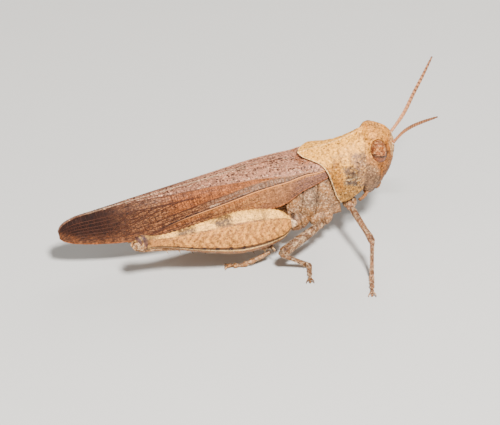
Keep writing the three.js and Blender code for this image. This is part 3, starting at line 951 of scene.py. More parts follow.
class Paint(Maker):
    """A material in the making, over places in body-frame millimetres."""

    def __init__(self, name: str, stance: Stance) -> None:
        """Starts a material.

        Args:
            name: Its name.
            stance: Where the body frame stands.
        """
        self.material = bpy.data.materials.new(name)
        self.material.use_nodes = True
        self.material.node_tree.nodes.clear()
        super().__init__(self.material.node_tree)
        x, y, z = (float(v) for v in stance.shift + (0, 0, BACK_HEIGHT))
        c, s = math.cos(PITCH), math.sin(PITCH)
        self.place = self.give(
            "ShaderNodeMapping",
            {"vector_type": "POINT"},
            {
                "Vector": self.node("ShaderNodeTexCoord").outputs["Object"],
                "Location": (-x * c - z * s, -y, x * s - z * c),
                "Rotation": (0, PITCH, 0),
                "Scale": (1 / MM, 1 / MM, 1 / MM),
            },
        )
        self.x, self.y, self.z = self.split(self.place)

    def mark(self, name: str) -> Value:
        """A number that the mesh carries."""
        made = self.node("ShaderNodeAttribute", {"attribute_type": "GEOMETRY", "attribute_name": name})
        return Value(self, made.outputs["Fac"])

    def marks(self, name: str) -> tuple[Value, Value, Value]:
        """Three numbers that the mesh carries."""
        made = self.node("ShaderNodeAttribute", {"attribute_type": "GEOMETRY", "attribute_name": name})
        return self.split(made.outputs["Vector"])

    def noise(self, size: float, detail: float = 3.0, place: object = None, rough: float = 0.55) -> Value:
        """Cloudy noise from 0 to 1 whose swells are about size across."""
        spot = place if place is not None else self.place
        settings = {"Vector": spot, "Scale": 1 / size, "Detail": detail, "Roughness": rough}
        return Value(self, self.give("ShaderNodeTexNoise", {}, settings))

    def patches(self, size: float, share: float = 0.4, place: object = None) -> Value:
        """Ragged patches of about a size, which cover more for a greater share."""
        middle = 0.62 - 0.24 * share
        return self.mask(self.noise(size, 4.0, place, 0.65), middle - 0.03, middle + 0.04)

    def cells(self, size: float, place: object = None, feature: str = "F1") -> Value:
        """Distance from the middles, or the edges, of cells about size across."""
        spot = place if place is not None else self.place
        made = self.node("ShaderNodeTexVoronoi", {"feature": feature}, {"Vector": spot, "Scale": 1 / size})
        return Value(self, made.outputs["Distance"])

    def specks(self, size: float, share: float, place: object = None) -> Value:
        """Small irregular dots, more of them for a greater share."""
        ragged = self.cells(size, place) + (self.noise(size * 0.5, 2.0, place) - 0.5) * 0.5
        return self.mask(ragged, 0.18 + share * 0.3, 0.06 + share * 0.3)

    def away(self, first: Value, second: Value) -> Value:
        """How far off a place is, from its distances in two directions."""
        return Value(self, self.vector("LENGTH", self.join(first, second, 0.0)))

    def zone(self, value: Value, low: float, high: float, soft: float = 0.15) -> Value:
        """Is 1 between two values and fades to 0 on both sides."""
        return self.mask(value, low - soft, low + soft) * self.mask(value, high + soft, high - soft)

    def blend(self, share: Value | float, under: object, over: object) -> NodeSocket:
        """Lays one colour over another by a share."""
        how = {"data_type": "RGBA", "clamp_factor": True}
        return self.node("ShaderNodeMix", how, {0: share, 6: under, 7: over}).outputs[2]

    def layers(self, base: object, *coats: tuple[Value | float, object]) -> NodeSocket:
        """Lays coats over a base in order, each by its share."""
        for share, colour in coats:
            base = self.blend(share, base, colour)
        return base

    def gritty(self, colour: object, fine: float, broad: float = 0.6, size: float = 0.32) -> NodeSocket:
        """Breaks a colour up with fine and broad changes of its lightness."""
        small = (self.noise(size, 2.0, None, 0.75) - 0.5) * fine
        large = (self.noise(size * 5, 2.0) - 0.5) * broad
        return self.vector("SCALE", colour, small + large + 1.0)

    def skin(
        self,
        colour: object,
        roughness: Value | float = 0.5,
        bump: Value | None = None,
        relief: float = 0.02,
        **shine: Value | float,
    ) -> Material:
        """Finishes as a solid surface.

        Args:
            colour: Its colour.
            roughness: Its roughness.
            bump: A height from 0 to 1 for fine relief.
            relief: How high 1 stands, in millimetres.
            shine: Other inputs of the shader, by name with underscores.

        Returns:
            The material.
        """
        inputs: dict[str | int, object] = {"Base Color": colour, "Roughness": roughness}
        inputs["Specular IOR Level"] = SPECULAR
        inputs |= {name.replace("_", " "): value for name, value in shine.items()}
        if bump is not None:
            bumps = {"Height": bump, "Distance": relief * MM, "Strength": 1.0}
            inputs["Normal"] = self.give("ShaderNodeBump", {}, bumps)
        shader = self.give("ShaderNodeBsdfPrincipled", {}, inputs)
        self.node("ShaderNodeOutputMaterial", {}, {"Surface": shader})
        return self.material


@dataclass(frozen=True)
class SaddleFinish:
    """Straw-tan disc, ochre rear lobes and a grey patch on each side."""

    disc: Colour = tone(242, 166, 60)
    ochre: Colour = tone(138, 82, 18)
    grey: Colour = tone(58, 50, 50)
    lilac: Colour = tone(112, 83, 68)
    lower: Colour = tone(80, 57, 38)
    pale: Colour = tone(250, 210, 150)
    dark: Colour = tone(62, 36, 20)

    def make(self, stance: Stance) -> Material:
        """Makes the material.

        Args:
            stance: Where the body frame stands.

        Returns:
            The material.
        """
        paint = Paint("Saddle plate", stance)
        x, z = paint.x, paint.z
        wobble = paint.noise(0.9, 4.0) - 0.5
        side = paint.mask(z + wobble * 1.4 - x * 0.08, -1.2, -2.1)
        lower = paint.mask(z + wobble * 1.2 + x * 0.3, -1.9, -3.3)
        rear = side * paint.mask(x + wobble * 1.6, 5.6, 4.9) * paint.mask(z + wobble, -6.4, -5.2)
        patch = paint.zone(x - z * 0.18 + wobble * 2.2, 6.2, 8.5, 0.3)
        patch = patch * paint.zone(z + x * 0.38 + wobble * 1.8, -2.85, 0.15, 0.3)
        veil = side * paint.mask(x + z * 0.15 + wobble * 1.4, 6.3, 7.4) * paint.mask(z + wobble, -6.8, -5.6)
        streak = patch * paint.mask(z + x * 0.38, -0.9, -1.6)
        streak = streak * paint.patches(0.5, 0.32, paint.join(x * 0.6, paint.y, z * 1.5))
        rim = paint.mask(paint.mark("rim"), 0.22, 0.08)
        colour = paint.layers(
            self.disc,
            (paint.patches(1.5, 0.6) * 0.22, self.ochre),
            (lower * 0.75, self.lower),
            (rear * 0.85, self.ochre),
            (veil * 0.85, self.lilac),
            (patch * 0.9, self.grey),
            (side * paint.patches(0.5, 0.35) * 0.28, self.disc),
            (patch * paint.specks(0.45, 0.5) * 0.5, self.dark),
            (streak * 0.35, self.pale),
            (paint.mark("groove") * 0.25, self.dark),
            (paint.mark("keel") * 0.3, self.pale),
            (paint.specks(0.4, 0.4) * 0.22, self.pale),
            (paint.specks(0.66, 0.34) * 0.6, self.dark),
            (side * paint.specks(0.44, 0.5) * 0.5, self.dark),
            (rim * 0.6, self.pale),
        )
        colour = paint.gritty(colour, 3.2, 0.9)
        grain = paint.cells(0.3) + paint.noise(0.15) * 0.6
        return paint.skin(colour, 0.44 + paint.noise(0.6) * 0.2, grain, 0.04)


@dataclass(frozen=True)
class FloorFinish:
    """Plain pale studio paper."""

    paper: Colour = tone(206, 203, 197)

    def make(self, stance: Stance) -> Material:
        """Makes the material.

        Args:
            stance: Where the body frame stands.

        Returns:
            The material.
        """
        paint = Paint("Studio paper", stance)
        colour = paint.blend(paint.noise(9.0, 2.0) * 0.08, self.paper, tone(190, 184, 174))
        return paint.skin(colour, 0.85)


# ---------------------------------------------------------------- Saddle plate


@dataclass
class Saddle:
    """The saddle plate behind the head, with deep side lobes."""

    stance: Stance
    thickness: float = 0.26
    rows: int = 150
    columns: int = 221
    furrows: tuple[float, ...] = (4.4, 5.7, 7.1)

    def __post_init__(self) -> None:
        """Sets out its profiles along x, and its margins by the share down from the crest."""
        self.crest = smooth(
            (-0.5, -0.05), (0, 0), (1.6, 0.14), (2.9, 0.2), (4.2, 0.19), (5.6, 0.33), (7, 0.55),
            (8.2, 0.8), (9.7, 1.23),
        )
        self.shoulder = smooth((0, 2.95), (3, 3.1), (6, 2.9), (9.7, 2.7))
        self.drop = smooth((0, 0.95), (2, 0.9), (4, 1.3), (6, 1.9), (8, 2.2), (9.7, 2.2))
        self.lobe = smooth((0, 4.05), (4, 4.15), (7, 4.0), (9.7, 3.65))
        self.foot = smooth(
            (3.6, -6.9), (4.0, -7.45), (4.6, -7.75), (5.7, -7.65), (7, -7.1), (8, -6.7), (9.7, -6.2)
        )
        self.hind = smooth(
            (0, 0), (0.16, 0.5), (0.3, 1.5), (0.42, 2.55), (0.56, 3.2), (0.75, 3.6), (0.92, 3.9), (1, 4.35)
        )
        self.front = smooth((0, 9.7), (0.3, 9.6), (0.55, 9.3), (0.8, 8.7), (1, 7.9))

    def half(self, x: Array, down: Array) -> Array:
        """Points of the left half.

        Args:
            x: How far forward.
            down: The share of the way from the crest to the foot.

        Returns:
            The points.
        """
        top, drop, wide, side, foot = (
            profile(x) for profile in (self.crest, self.drop, self.shoulder, self.lobe, self.foot)
        )
        controls = [
            (0 * x, top),
            (wide * 0.52, top - drop * 0.3),
            (wide, top - drop),
            (mix(wide, side, 0.75), top - drop - 1.5),
            (side, mix(top, foot, 0.72)),
            (side - 0.12, foot),
        ]
        return across_sections(x, controls, down)

    def build(self, finish: SaddleFinish, grain: NodeTree) -> None:
        """Builds the plate with its keel, furrows and rims.

        Args:
            finish: Its finish.
            grain: The recipe for beaded shell.
        """
        u = np.linspace(0, 1, self.rows)[:, None]
        v = np.linspace(-1, 1, self.columns)[None]
        down = np.abs(v)
        x = mix(self.hind(down), self.front(down), u)
        face = self.half(x, down + 0 * x)
        face[..., 1] *= np.sign(v)
        z = face[..., 2]
        keel = bell(face[..., 1], 0.14)
        furrow = sum(bell(x - at + 0.12 * np.abs(z + 1), 0.15) for at in self.furrows)
        furrow = np.minimum(furrow, 1) * ease(down + 0 * x, 0.12, 0.22) * ease(down + 0 * x, 0.8, 0.6)
        rim, fore = x - self.hind(down), self.front(down) - x
        edge = np.minimum(np.minimum(rim, fore), (z - self.foot(x)) + 0.02)
        shoulder = bell(down - 0.42, 0.035) * ease(rim, 0.2, 1.2) * ease(x, 7.5, 5.5)
        height = keel * 0.045 - 0.045 * furrow + 0.03 * bell(rim - 0.14, 0.12) + 0.03 * shoulder - 0.03
        face = raised(face, height - 0.1 * ease(fore, 0.4, 0.0), closed=False)
        thin = self.thickness * (0.3 + 0.7 * ease(edge, 0.0, 0.35))
        marks = {"rim": rim, "groove": furrow, "keel": keel}
        marks["grain"] = ease(edge, 0.0, 0.25) * (1 - 0.6 * keel) * (0.75 + 0.25 * ease(x, 6.5, 4.5))
        skins, coat = [Skin.thin(face, thin, marks)], finish.make(self.stance)
        beads = {"recipe": grain, "Depth": 0.07 * MM, "Size": 0.36 * MM}
        show("saddle_plate", skins, self.stance.body, coat, "pronotum_shell", "pronotum", **beads)


# ---------------------------------------------------------------- Head


@dataclass(frozen=True)
class HeadFinish:
    """Ochre face with a grey speckled cheek, and a straw-coloured top."""

    top: Colour = tone(208, 136, 54)
    face: Colour = tone(138, 77, 14)
    cheek: Colour = tone(118, 86, 62)
    side: Colour = tone(166, 108, 56)
    cream: Colour = tone(232, 186, 126)
    dark: Colour = tone(58, 34, 20)

    def make(self, stance: Stance) -> Material:
        """Makes the material.

        Args:
            stance: Where the body frame stands.

        Returns:
            The material.
        """
        paint = Paint("Head", stance)
        x, z = paint.x, paint.z
        wobble = paint.noise(0.9, 4.0) - 0.5
        crown = paint.mask(z + wobble * 1.2, -0.9, 0.2)
        cheek = paint.mask(x + wobble * 1.4 + z * 0.04, 10.9, 10.2)
        cheek = cheek * paint.mask(z + wobble * 1.4 + (x - 9.5) * 0.8, -2.4, -3.6)
        side = paint.mask(x + wobble, 11.0, 10.3) * paint.mask(z + wobble, -4.4, -3.4)
        front = paint.mask(x + wobble * 0.8 + z * 0.06, 12.75, 13.0) * paint.zone(z + wobble, -3.6, -0.6, 0.4)
        pits = paint.specks(0.34, 0.5)
        mottle = paint.patches(0.55, 0.5)
        colour = paint.layers(
            self.face,
            (side, self.side),
            (mottle * 0.3, self.side),
            (cheek * 0.9, self.cheek),
            (cheek * paint.patches(0.3, 0.3) * 0.22, self.cream),
            (front * (mottle * 0.35 + 0.2), self.cream),
            (crown, self.top),
            (paint.mask(x + wobble, 10.6, 9.7) * paint.mask(z + wobble, -2.2, -0.8) * 0.6, SaddleFinish.disc),
            (crown * paint.patches(0.7, 0.45) * 0.35, self.face),
            (paint.specks(0.4, 0.3) * 0.25, self.cream),
            (cheek * pits * 0.4, self.dark),
            (paint.specks(0.6, 0.4) * 0.4, self.dark),
            (pits * 0.35, self.dark),
            (paint.mark("groove") * 0.5, self.dark),
            # Painted shade of the socket: the head is darkened in a ring where it meets the eye.
            (paint.mask(paint.mark("orbit"), 1.1, 1.02) * 0.5, self.dark),
        )
        colour = paint.gritty(colour, 3.6, 1.4)
        grain = paint.cells(0.26) + paint.noise(0.12) * 0.6
        return paint.skin(colour, 0.46 + paint.noise(0.5) * 0.2, grain, 0.04)


@dataclass(frozen=True)
class EyeFinish:
    """Glossy orange-brown above an uneven dark band, pinkish brown below, with painted shade of the socket
    round its edge.
    """

    upper: Colour = tone(134, 70, 28)
    lower: Colour = tone(128, 68, 36)
    dark: Colour = tone(40, 18, 12)
    pale: Colour = tone(216, 150, 92)

    def make(self, stance: Stance) -> Material:
        """Makes the material.

        Args:
            stance: Where the body frame stands.

        Returns:
            The material.
        """
        paint = Paint("Eye", stance)
        x, y, z = paint.x, paint.y, paint.z
        wobble = paint.noise(0.6, 4.0) - 0.5
        level = z + 1.78 + (x - 11.2) * 0.4 + wobble * 0.9
        stretched = paint.join(x * 0.6, y, z * 1.5)
        rim = paint.mask(paint.mark("rim"), 0.28, 0.46)
        # Painted shade of the socket: a dark crescent along the eye's lower front edge.
        socket_shadow = rim * paint.mask((x - 11.2) * 0.8 - (z + 1.74), 0.2, 0.8)
        colour = paint.layers(
            self.upper,
            (paint.patches(0.4, 0.4, stretched) * 0.65, self.pale),
            (paint.mask(level, -0.15, -0.45), self.lower),
            (paint.patches(0.35, 0.35, stretched) * 0.25, self.pale),
            (paint.mask(abs(level + 0.1), 0.32, 0.08) * 0.9, self.dark),
            (paint.specks(0.24, 0.55, stretched) * 0.7, self.dark),
            # Painted shade of the socket: the eye's edge against the head is darkened, most of all in the
            # crescent.
            (rim * 0.35, self.dark),
            (socket_shadow * 0.9, self.dark),
        )
        colour = paint.gritty(colour, 3.0, 0.8, 0.3)
        shine = {"Coat_Weight": (1 - rim) * 0.16, "Coat_Roughness": 0.1}
        return paint.skin(colour, 0.24 + rim * 0.5, paint.cells(0.06), 0.004, **shine)


@dataclass
class Head:
    """The head capsule with its ridges, pits and grooves, the eyes and the three small eyes."""

    stance: Stance
    chin: float = -9.0
    vertex: float = 1.52
    eye: tuple[float, float, float] = (11.22, 2.74, -1.62)
    eye_radii: tuple[float, float, float] = (1.22, 1.15, 1.88)
    feeler_root: tuple[float, float, float] = (13.4, 1.15, -2.3)
    rows: int = 190
    columns: int = 256

    def __post_init__(self) -> None:
        """Sets out its outline over its height, and the collar that runs in under the saddle plate."""
        self.front = smooth(
            (self.chin, 10.35), (-8.1, 11.3), (-6.9, 12.2), (-5.7, 12.95), (-4.3, 13.6), (-3.1, 13.97),
            (-1.5, 14.05), (-0.4, 13.72), (0.55, 12.95), (1.12, 12), (self.vertex, 11.1),
        )
        self.back = smooth(
            (self.chin, 8.95), (-8.1, 8.25), (-6.7, 8.25), (-5.4, 8.75), (-3.6, 9.25), (-1.2, 9.7),
            (1, 9.95), (self.vertex, 10.3),
        )
        self.width = smooth(
            (self.chin, 1.45), (-8.1, 2.35), (-6, 3.25), (-3.6, 3.55), (-1.2, 3.3), (0.2, 2.6),
            (1.2, 1.55), (self.vertex, 0.5),
        )
        self.collar = smooth(
            (-6.6, 7.9), (-6.2, 7.9), (-4, 8.9), (-2.25, 9.35), (-0.75, 9.6), (0.7, 9.7), (1.12, 9.75),
            (1.3, 10), (self.vertex, 10.6),
        )
        self.collar_width = smooth(
            (self.chin, 1.45), (-6.2, 3.3), (-4.06, 3.5), (-2.25, 3.25), (-0.75, 2.55), (0.3, 1.6),
            (0.65, 1.2), (1.05, 0.5), (1.3, 0.3), (self.vertex, 0.15),
        )

    def bare(self) -> Array:
        """Sets out the capsule without relief.

        Returns:
            Its rings from the chin up, closing over the top.
        """
        z = crowd(self.chin, self.vertex, self.rows)[:, None]
        angle = circle(self.columns)[None]
        front, back, wide = self.front(z), self.back(z), self.width(z)
        middle = mix(back, front, 0.3)
        c, s = np.cos(angle), np.sin(angle)
        ahead = c > 0
        reach = np.where(ahead, front - middle, middle - back)
        x = middle + reach * np.sign(c) * np.abs(c) ** np.where(ahead, 1, 0.6)
        y = wide * np.abs(s) ** np.where(ahead, 1.1, 0.4)
        turn = np.clip(2 * np.arccos(np.clip(c, -1, 1)) / math.pi - 1, 0, 1)
        first, second, third = np.clip(turn / 0.45, 0, 1), ease(turn, 0.45, 0.7), ease(turn, 0.7, 1)
        edge, inner = self.collar(z), np.minimum(self.collar_width(z), wide)
        tuck = np.minimum(0.2, inner)
        under_x = mix(middle, edge, first) - 0.8 * second - 0.1 * third
        under_y = mix(mix(wide, inner, first**2) - tuck * second, 0, third)
        held = ease(z, -7.1, -6.2)
        x = np.where(ahead, x, mix(x, under_x, held))
        y = np.where(ahead, y, mix(y, under_y, held)) * np.sign(s)
        rings = np.stack([x, y, z + 0 * x], axis=-1)
        last = rings[-1:]
        centre = last.mean(axis=1, keepdims=True)
        closing = [
            centre + (last - centre) * share + (0, 0, lift)
            for share, lift in ((0.75, 0.02), (0.45, 0.035), (0.15, 0.04))
        ]
        return np.concatenate([rings, *closing])

    def orbit(self, points: Array) -> Array:
        """How far points are from the middle of the nearer eye, where 1 is on its surface."""
        away = (np.abs(points * (0, 1, 0)) + points * (1, 0, 1) - self.eye) / self.eye_radii
        return np.linalg.norm(away, axis=-1)

    def relief(self, points: Array) -> tuple[Array, Array]:
        """Heights of the ridges and depths of the grooves.

        Args:
            points: Points of the bare capsule.

        Returns:
            The height at each point, and a mark for its grooves.
        """
        x, y, z = points[..., 0], np.abs(points[..., 1]), points[..., 2]
        face = ease(x, 10.6, 11.6)
        ridge = smooth((-6.8, 0.62), (-4, 0.5), (-2.4, 0.6), (-0.8, 0.42), (0.6, 0.4))(z)
        keels = bell(y - ridge, 0.13) * ease(z, -7.0, -6.5) * ease(z, 1.1, 0.5) * face
        hollow = bell(y, 0.3) * ease(z, -6.3, -5.2) * ease(z, -0.2, -1.4) * face
        cheek = smooth((-7.0, 1.65), (-5, 1.6), (-3.3, 1.85))(z)
        cheek_keel = bell(y - cheek, 0.12) * ease(z, -7.2, -6.6) * ease(z, -2.9, -3.5) * face
        groove = smooth((-8.0, 10.35), (-3.4, 11.25))(z)
        below_eye = bell(x - groove, 0.11) * ease(z, -8.1, -7.6) * ease(z, -3.3, -3.7) * ease(y, 1.4, 2.0)
        lip = bell(z + 6.95 - 0.1 * y, 0.09) * ease(x, 10.6, 11.3) * ease(y, 2.0, 1.7)
        pit = np.linalg.norm(points * (1, 0, 1) + np.abs(points) * (0, 1, 0) - self.feeler_root, axis=-1)
        roof = 0.92 - 0.34 * (x - 11.4)
        brow = bell(y - roof, 0.1) * ease(x, 11.0, 11.7) * ease(z, -0.9, -0.2)
        dip = ease(roof - y, 0.0, 0.4) * ease(x, 11.3, 12.0) * ease(z, -0.4, 0.2)
        mid = bell(y, 0.07) * ease(x, 12.4, 11.8) * ease(z, 0.6, 1.2)
        orbit = self.orbit(points)
        height = 0.1 * keels - 0.1 * hollow + 0.08 * cheek_keel - 0.1 * below_eye - 0.08 * lip - 0.03
        height = height - 0.26 * bell(pit, 0.42) + 0.1 * bell(pit - 0.6, 0.13)
        height = height + 0.05 * brow - 0.06 * dip + 0.02 * mid
        height = height + 0.07 * bell(orbit - 1.12, 0.06) - 0.3 * ease(orbit, 1.06, 0.97)
        return height, np.clip(below_eye + lip + 0.5 * bell(pit, 0.4), 0, 1)

    def build(self, finish: HeadFinish, eyes: EyeFinish, grain: NodeTree) -> None:
        """Builds the capsule and the eyes.

        Args:
            finish: The capsule's finish.
            eyes: The eyes' finish.
            grain: The recipe for beaded shell.
        """
        bare = self.bare()
        height, groove = self.relief(bare)
        marks = {"orbit": self.orbit(bare), "groove": groove}
        marks["grain"] = ease(marks["orbit"], 1.1, 1.3) * ease(bare[..., 0], 9.5, 10.2)
        skins, coat = [Skin(raised(bare, height), marks)], finish.make(self.stance)
        beads = {"recipe": grain, "Depth": 0.075 * MM, "Size": 0.36 * MM, "Seed": 8.0}
        show("head_capsule", skins, self.stance.body, coat, "head_shell", "head", **beads)
        glass = eyes.make(self.stance)
        for side in Side:
            self.add_eye(side, glass)
        self.add_small_eyes(glass)

    def add_eye(self, side: Side, glass: Material) -> None:
        """Sets a large eye into its socket.

        Args:
            side: The eye's side.
            glass: Its finish.
        """
        centre = np.array(self.eye) * (1, side.value, 1)
        points = ovoid(centre, self.eye_radii, 72, 96)
        rim = 1 - np.abs(points[..., 1] - centre[1]) / self.eye_radii[1]
        skins = [Skin(points, {"rim": rim})]
        show(f"eye_globe_{side.word}", skins, self.stance.body, glass, "eye", f"eye_{side.word}")

    def add_small_eyes(self, glass: Material) -> None:
        """Sets the three small eyes between and over the feelers.

        Args:
            glass: Their finish.
        """
        places = [(13.98, 0, -3.05), (13.5, 1.0, -0.95), (13.5, -1.0, -0.95)]
        beads = [ovoid(place, (0.14, 0.17, 0.2), 14, 20) for place in places]
        skins = [Skin(points, {"rim": np.zeros(points.shape[:2])}) for points in beads]
        show("small_eyes", skins, self.stance.body, glass, "eye")


# ---------------------------------------------------------------- Feelers and mouth


@dataclass(frozen=True)
class FeelerFinish:
    """Pale pinkish tan joints, ringed darker towards the tip."""

    pale: Colour = tone(188, 126, 84)
    dark: Colour = tone(84, 50, 34)
    root: Colour = tone(236, 206, 172)

    def make(self, stance: Stance) -> Material:
        """Makes the material.

        Args:
            stance: Where the body frame stands.

        Returns:
            The material.
        """
        paint = Paint("Feeler", stance)
        share, joint = paint.mark("share"), paint.mark("up_joint")
        ring = paint.mask(joint + paint.noise(0.3) * 0.2, 0.1, 0.34) * paint.mask(share, 0.15, 0.6)
        colour = paint.layers(
            self.pale,
            (paint.mask(share, 0.1, 0.03) * 0.7, self.root),
            (ring * 0.8, self.dark),
            (paint.mask(share, 0.7, 1.0) * 0.4, self.dark),
            (paint.specks(0.2, 0.35) * 0.4, self.dark),
        )
        return paint.skin(paint.gritty(colour, 1.2), 0.5, paint.noise(0.08, 4.0), 0.015)


@dataclass
class Feeler:
    """One of the two flattened feelers."""

    stance: Stance
    side: Side
    controls: tuple[tuple[float, float, float], ...]
    blade: tuple[float, float, float]
    joints: int = 23
    widest: float = 0.36
    thickness: float = 0.15
    overlap: float = 1.06

    def build(self, finish: Material, recipe: NodeTree) -> None:
        """Builds the joints from the root to the tip.

        Args:
            finish: The material.
            recipe: The recipe for feeler joints.
        """
        line = course(self.controls, 2 * self.joints + 1)
        middles, ends = line[1::2], line[::2]
        share = np.linspace(0, 1, self.joints)
        half = smooth(
            (0, 0.34), (0.05, 0.26), (0.12, 0.24), (0.3, 0.36), (0.7, 0.32), (0.95, 0.2), (1, 0.13)
        )(share)
        half = half * self.widest / 0.36
        thin = np.maximum(self.thickness * smooth((0, 2.0), (0.08, 1.7), (0.25, 1), (1, 0.8))(share), 0.1)
        world = self.stance.body(ends)
        step = np.diff(world, axis=0)
        long = np.linalg.norm(step, axis=1) * self.overlap
        stretch = np.stack([half * MM, thin * MM, long], axis=-1)
        blade = self.stance.body(np.array([self.blade])) - self.stance.body(np.zeros((1, 3)))
        marks = {"aim": unit(step), "blade": np.repeat(unit(blade), self.joints, axis=0)}
        marks |= {"stretch": stretch, "share": share}
        piece = new_piece(f"feeler_{self.side.word}", self.stance.body(middles), marks)
        settle(grow(piece, recipe, finish), "antenna", f"antenna_{self.side.word}")


@dataclass(frozen=True)
class MouthFinish:
    """Brown horn with darker tips."""

    horn: Colour = tone(160, 104, 58)
    dark: Colour = tone(50, 28, 18)

    def make(self, stance: Stance) -> Material:
        """Makes the material.

        Args:
            stance: Where the body frame stands.

        Returns:
            The material.
        """
        paint = Paint("Mouth", stance)
        colour = paint.layers(
            self.horn,
            (paint.mask(paint.z + paint.noise(0.6) * 0.6, -8.7, -9.2) * 0.6, self.dark),
            (paint.patches(0.4, 0.4) * 0.4, self.dark),
            (paint.specks(0.25, 0.4) * 0.5, self.dark),
        )
        return paint.skin(paint.gritty(colour, 1.2), 0.4, paint.noise(0.15, 4.0), 0.03)


@dataclass
class Mouth:
    """The upper lip, the jaws behind it and the jointed palps beside them."""

    stance: Stance

    def build(self, finish: Material) -> None:
        """Builds all the mouthparts.

        Args:
            finish: Their finish.
        """
        self.add_lip(finish)
        for side in Side:
            self.add_jaw(side, finish)
            self.add_palps(side, finish)

    def add(self, name: str, skins: list[Skin], finish: Material, *nodes: str) -> None:
        """Adds one mouthpart."""
        show(name, skins, self.stance.body, finish, "mouthparts", *nodes)

    def add_lip(self, finish: Material) -> None:
        """Adds the notched upper lip.

        Args:
            finish: Its finish.
        """
        line = course([(10.95, 0, -7.95), (10.85, 0, -8.3), (10.6, 0, -8.75), (10.15, 0, -9.25)], 40)
        share = np.linspace(0, 1, 40)
        high = smooth((0, 0.26), (0.15, 0.38), (0.6, 0.38), (0.93, 0.24), (1, 0.08))(share)
        wide = smooth((0, 1.0), (0.15, 1.25), (0.6, 1.2), (0.9, 0.9), (1, 0.65))(share)
        points = swept(line, high, wide, (1, 0, 0.6), 64, 0.8)
        y = np.abs(points[..., 1])
        notch = -0.12 * bell(y, 0.14) * ease(share, 0.3, 1.0)[:, None]
        height = notch - 0.05 * bell(share - 0.35, 0.06)[:, None]
        self.add("lip", [Skin(raised(points, height))], finish, "labrum")

    def add_jaw(self, side: Side, finish: Material) -> None:
        """Adds a jaw with its outer lobe.

        Args:
            side: The jaw's side.
            finish: Its finish.
        """
        s = side.value
        jaw = ovoid((9.3, 0.8 * s, -8.93), (0.78, 0.58, 0.5), 26, 36)
        jaw = raised(jaw, 0.04 * np.sin(jaw[..., 0] * 9) * ease(jaw[..., 2], -9.0, -9.3))
        lobe = ovoid((8.8, 1.15 * s, -8.75), (0.5, 0.42, 0.6), 22, 28)
        self.add(f"jaw_{side.word}", [Skin(jaw), Skin(lobe)], finish, f"mandible_{side.word}")

    def add_palps(self, side: Side, finish: Material) -> None:
        """Adds the long outer palp and the short inner one.

        Args:
            side: The palps' side.
            finish: Their finish.
        """
        long = [(8.9, 1.85, -8.3), (8.45, 2.1, -8.75), (7.95, 2.1, -9.2), (7.3, 2.0, -9.55)]
        short = [(8.8, 0.9, -9.1), (8.5, 1.15, -9.4), (8.15, 1.2, -9.6)]
        skins = [self.palp(controls, side, thick) for controls, thick in ((long, 0.24), (short, 0.17))]
        self.add(f"palps_{side.word}", skins, finish, f"palp_{side.word}")

    @staticmethod
    def palp(controls: Sequence[Sequence[float]], side: Side, thick: float) -> Skin:
        """Makes a palp whose joints swell and pinch.

        Args:
            controls: Places on the left palp that it runs through.
            side: The palp's side.
            thick: Its half thickness.

        Returns:
            The palp.
        """
        line = course(controls, 60) * (1, side.value, 1)
        share = np.linspace(0, 1, 60)
        swell = 1 - 0.34 * bell((share * 4) % 1 - 0.02, 0.14) - 0.25 * ease(share, 0.93, 1.0)
        girth = thick * swell * np.minimum(1, 0.75 + share)
        return Skin(swept(line, girth, girth, (0, 1, 0.2), 18))


# ---------------------------------------------------------------- Trunk


@dataclass(frozen=True)
class FlankFinish:
    """Grey-beige speckled side plates with dark seams and a few cream patches."""

    base: Colour = tone(128, 90, 60)
    grey: Colour = tone(104, 80, 62)
    warm: Colour = tone(152, 98, 50)
    cream: Colour = tone(232, 192, 146)
    dark: Colour = tone(56, 36, 24)

    def make(self, stance: Stance) -> Material:
        """Makes the material.

        Args:
            stance: Where the body frame stands.

        Returns:
            The material.
        """
        paint = Paint("Flank", stance)
        x, z = paint.x, paint.z
        wobble = paint.noise(0.8, 4.0) - 0.5
        spot = paint.away(x + 2.8, z + 8.0)
        patch = paint.away((x + 3.2) * 0.8, z + 8.8)
        plate = paint.zone(x + z * 0.15 + wobble * 2, -2.0, 0.6, 0.4)
        colour = paint.layers(
            self.base,
            (paint.patches(1.4, 0.5) * 0.6, self.warm),
            (plate * paint.mask(z + wobble, -7.8, -7.0) * 0.75, self.grey),
            (paint.mask(z + wobble, -8.2, -9.2) * 0.35, self.warm),
            (paint.patches(0.28, 0.35) * 0.35, self.cream),
            (paint.mask(patch + wobble * 0.8, 0.6, 0.4) * 0.8, self.cream),
            (paint.mask(spot + wobble * 0.8, 0.45, 0.25) * 0.8, self.dark),
            (paint.mark("groove") * 0.75, self.dark),
            (paint.specks(0.36, 0.5) * 0.4, self.dark),
        )
        colour = paint.gritty(colour, 3.2, 1.2)
        return paint.skin(colour, 0.5 + wobble * 0.3, paint.cells(0.24) + paint.noise(0.1), 0.04)


@dataclass(frozen=True)
class BellyFinish:
    """Yellowish tan rings with darker hind rims and speckled sides."""

    base: Colour = tone(186, 134, 82)
    dark: Colour = tone(80, 50, 30)
    pale: Colour = tone(228, 190, 138)

    def make(self, stance: Stance) -> Material:
        """Makes the material.

        Args:
            stance: Where the body frame stands.

        Returns:
            The material.
        """
        paint = Paint("Belly", stance)
        height = paint.mark("height")
        colour = paint.layers(
            self.base,
            (paint.mask(height, 0.2, 0.75) * 0.5, self.dark),
            (paint.mask(height, -0.4, -0.8) * 0.5, self.pale),
            (paint.mask(paint.mark("ring"), 0.62, 0.95) * 0.4, self.dark),
            (paint.patches(0.7, 0.4) * 0.3, self.dark),
            (paint.specks(0.32, 0.45) * 0.5, self.dark),
            (paint.mark("groove") * 0.6, self.dark),
        )
        colour = paint.gritty(colour, 2.6, 0.8)
        return paint.skin(colour, 0.45 + paint.noise(0.5) * 0.2, paint.cells(0.2) + paint.noise(0.1), 0.03)


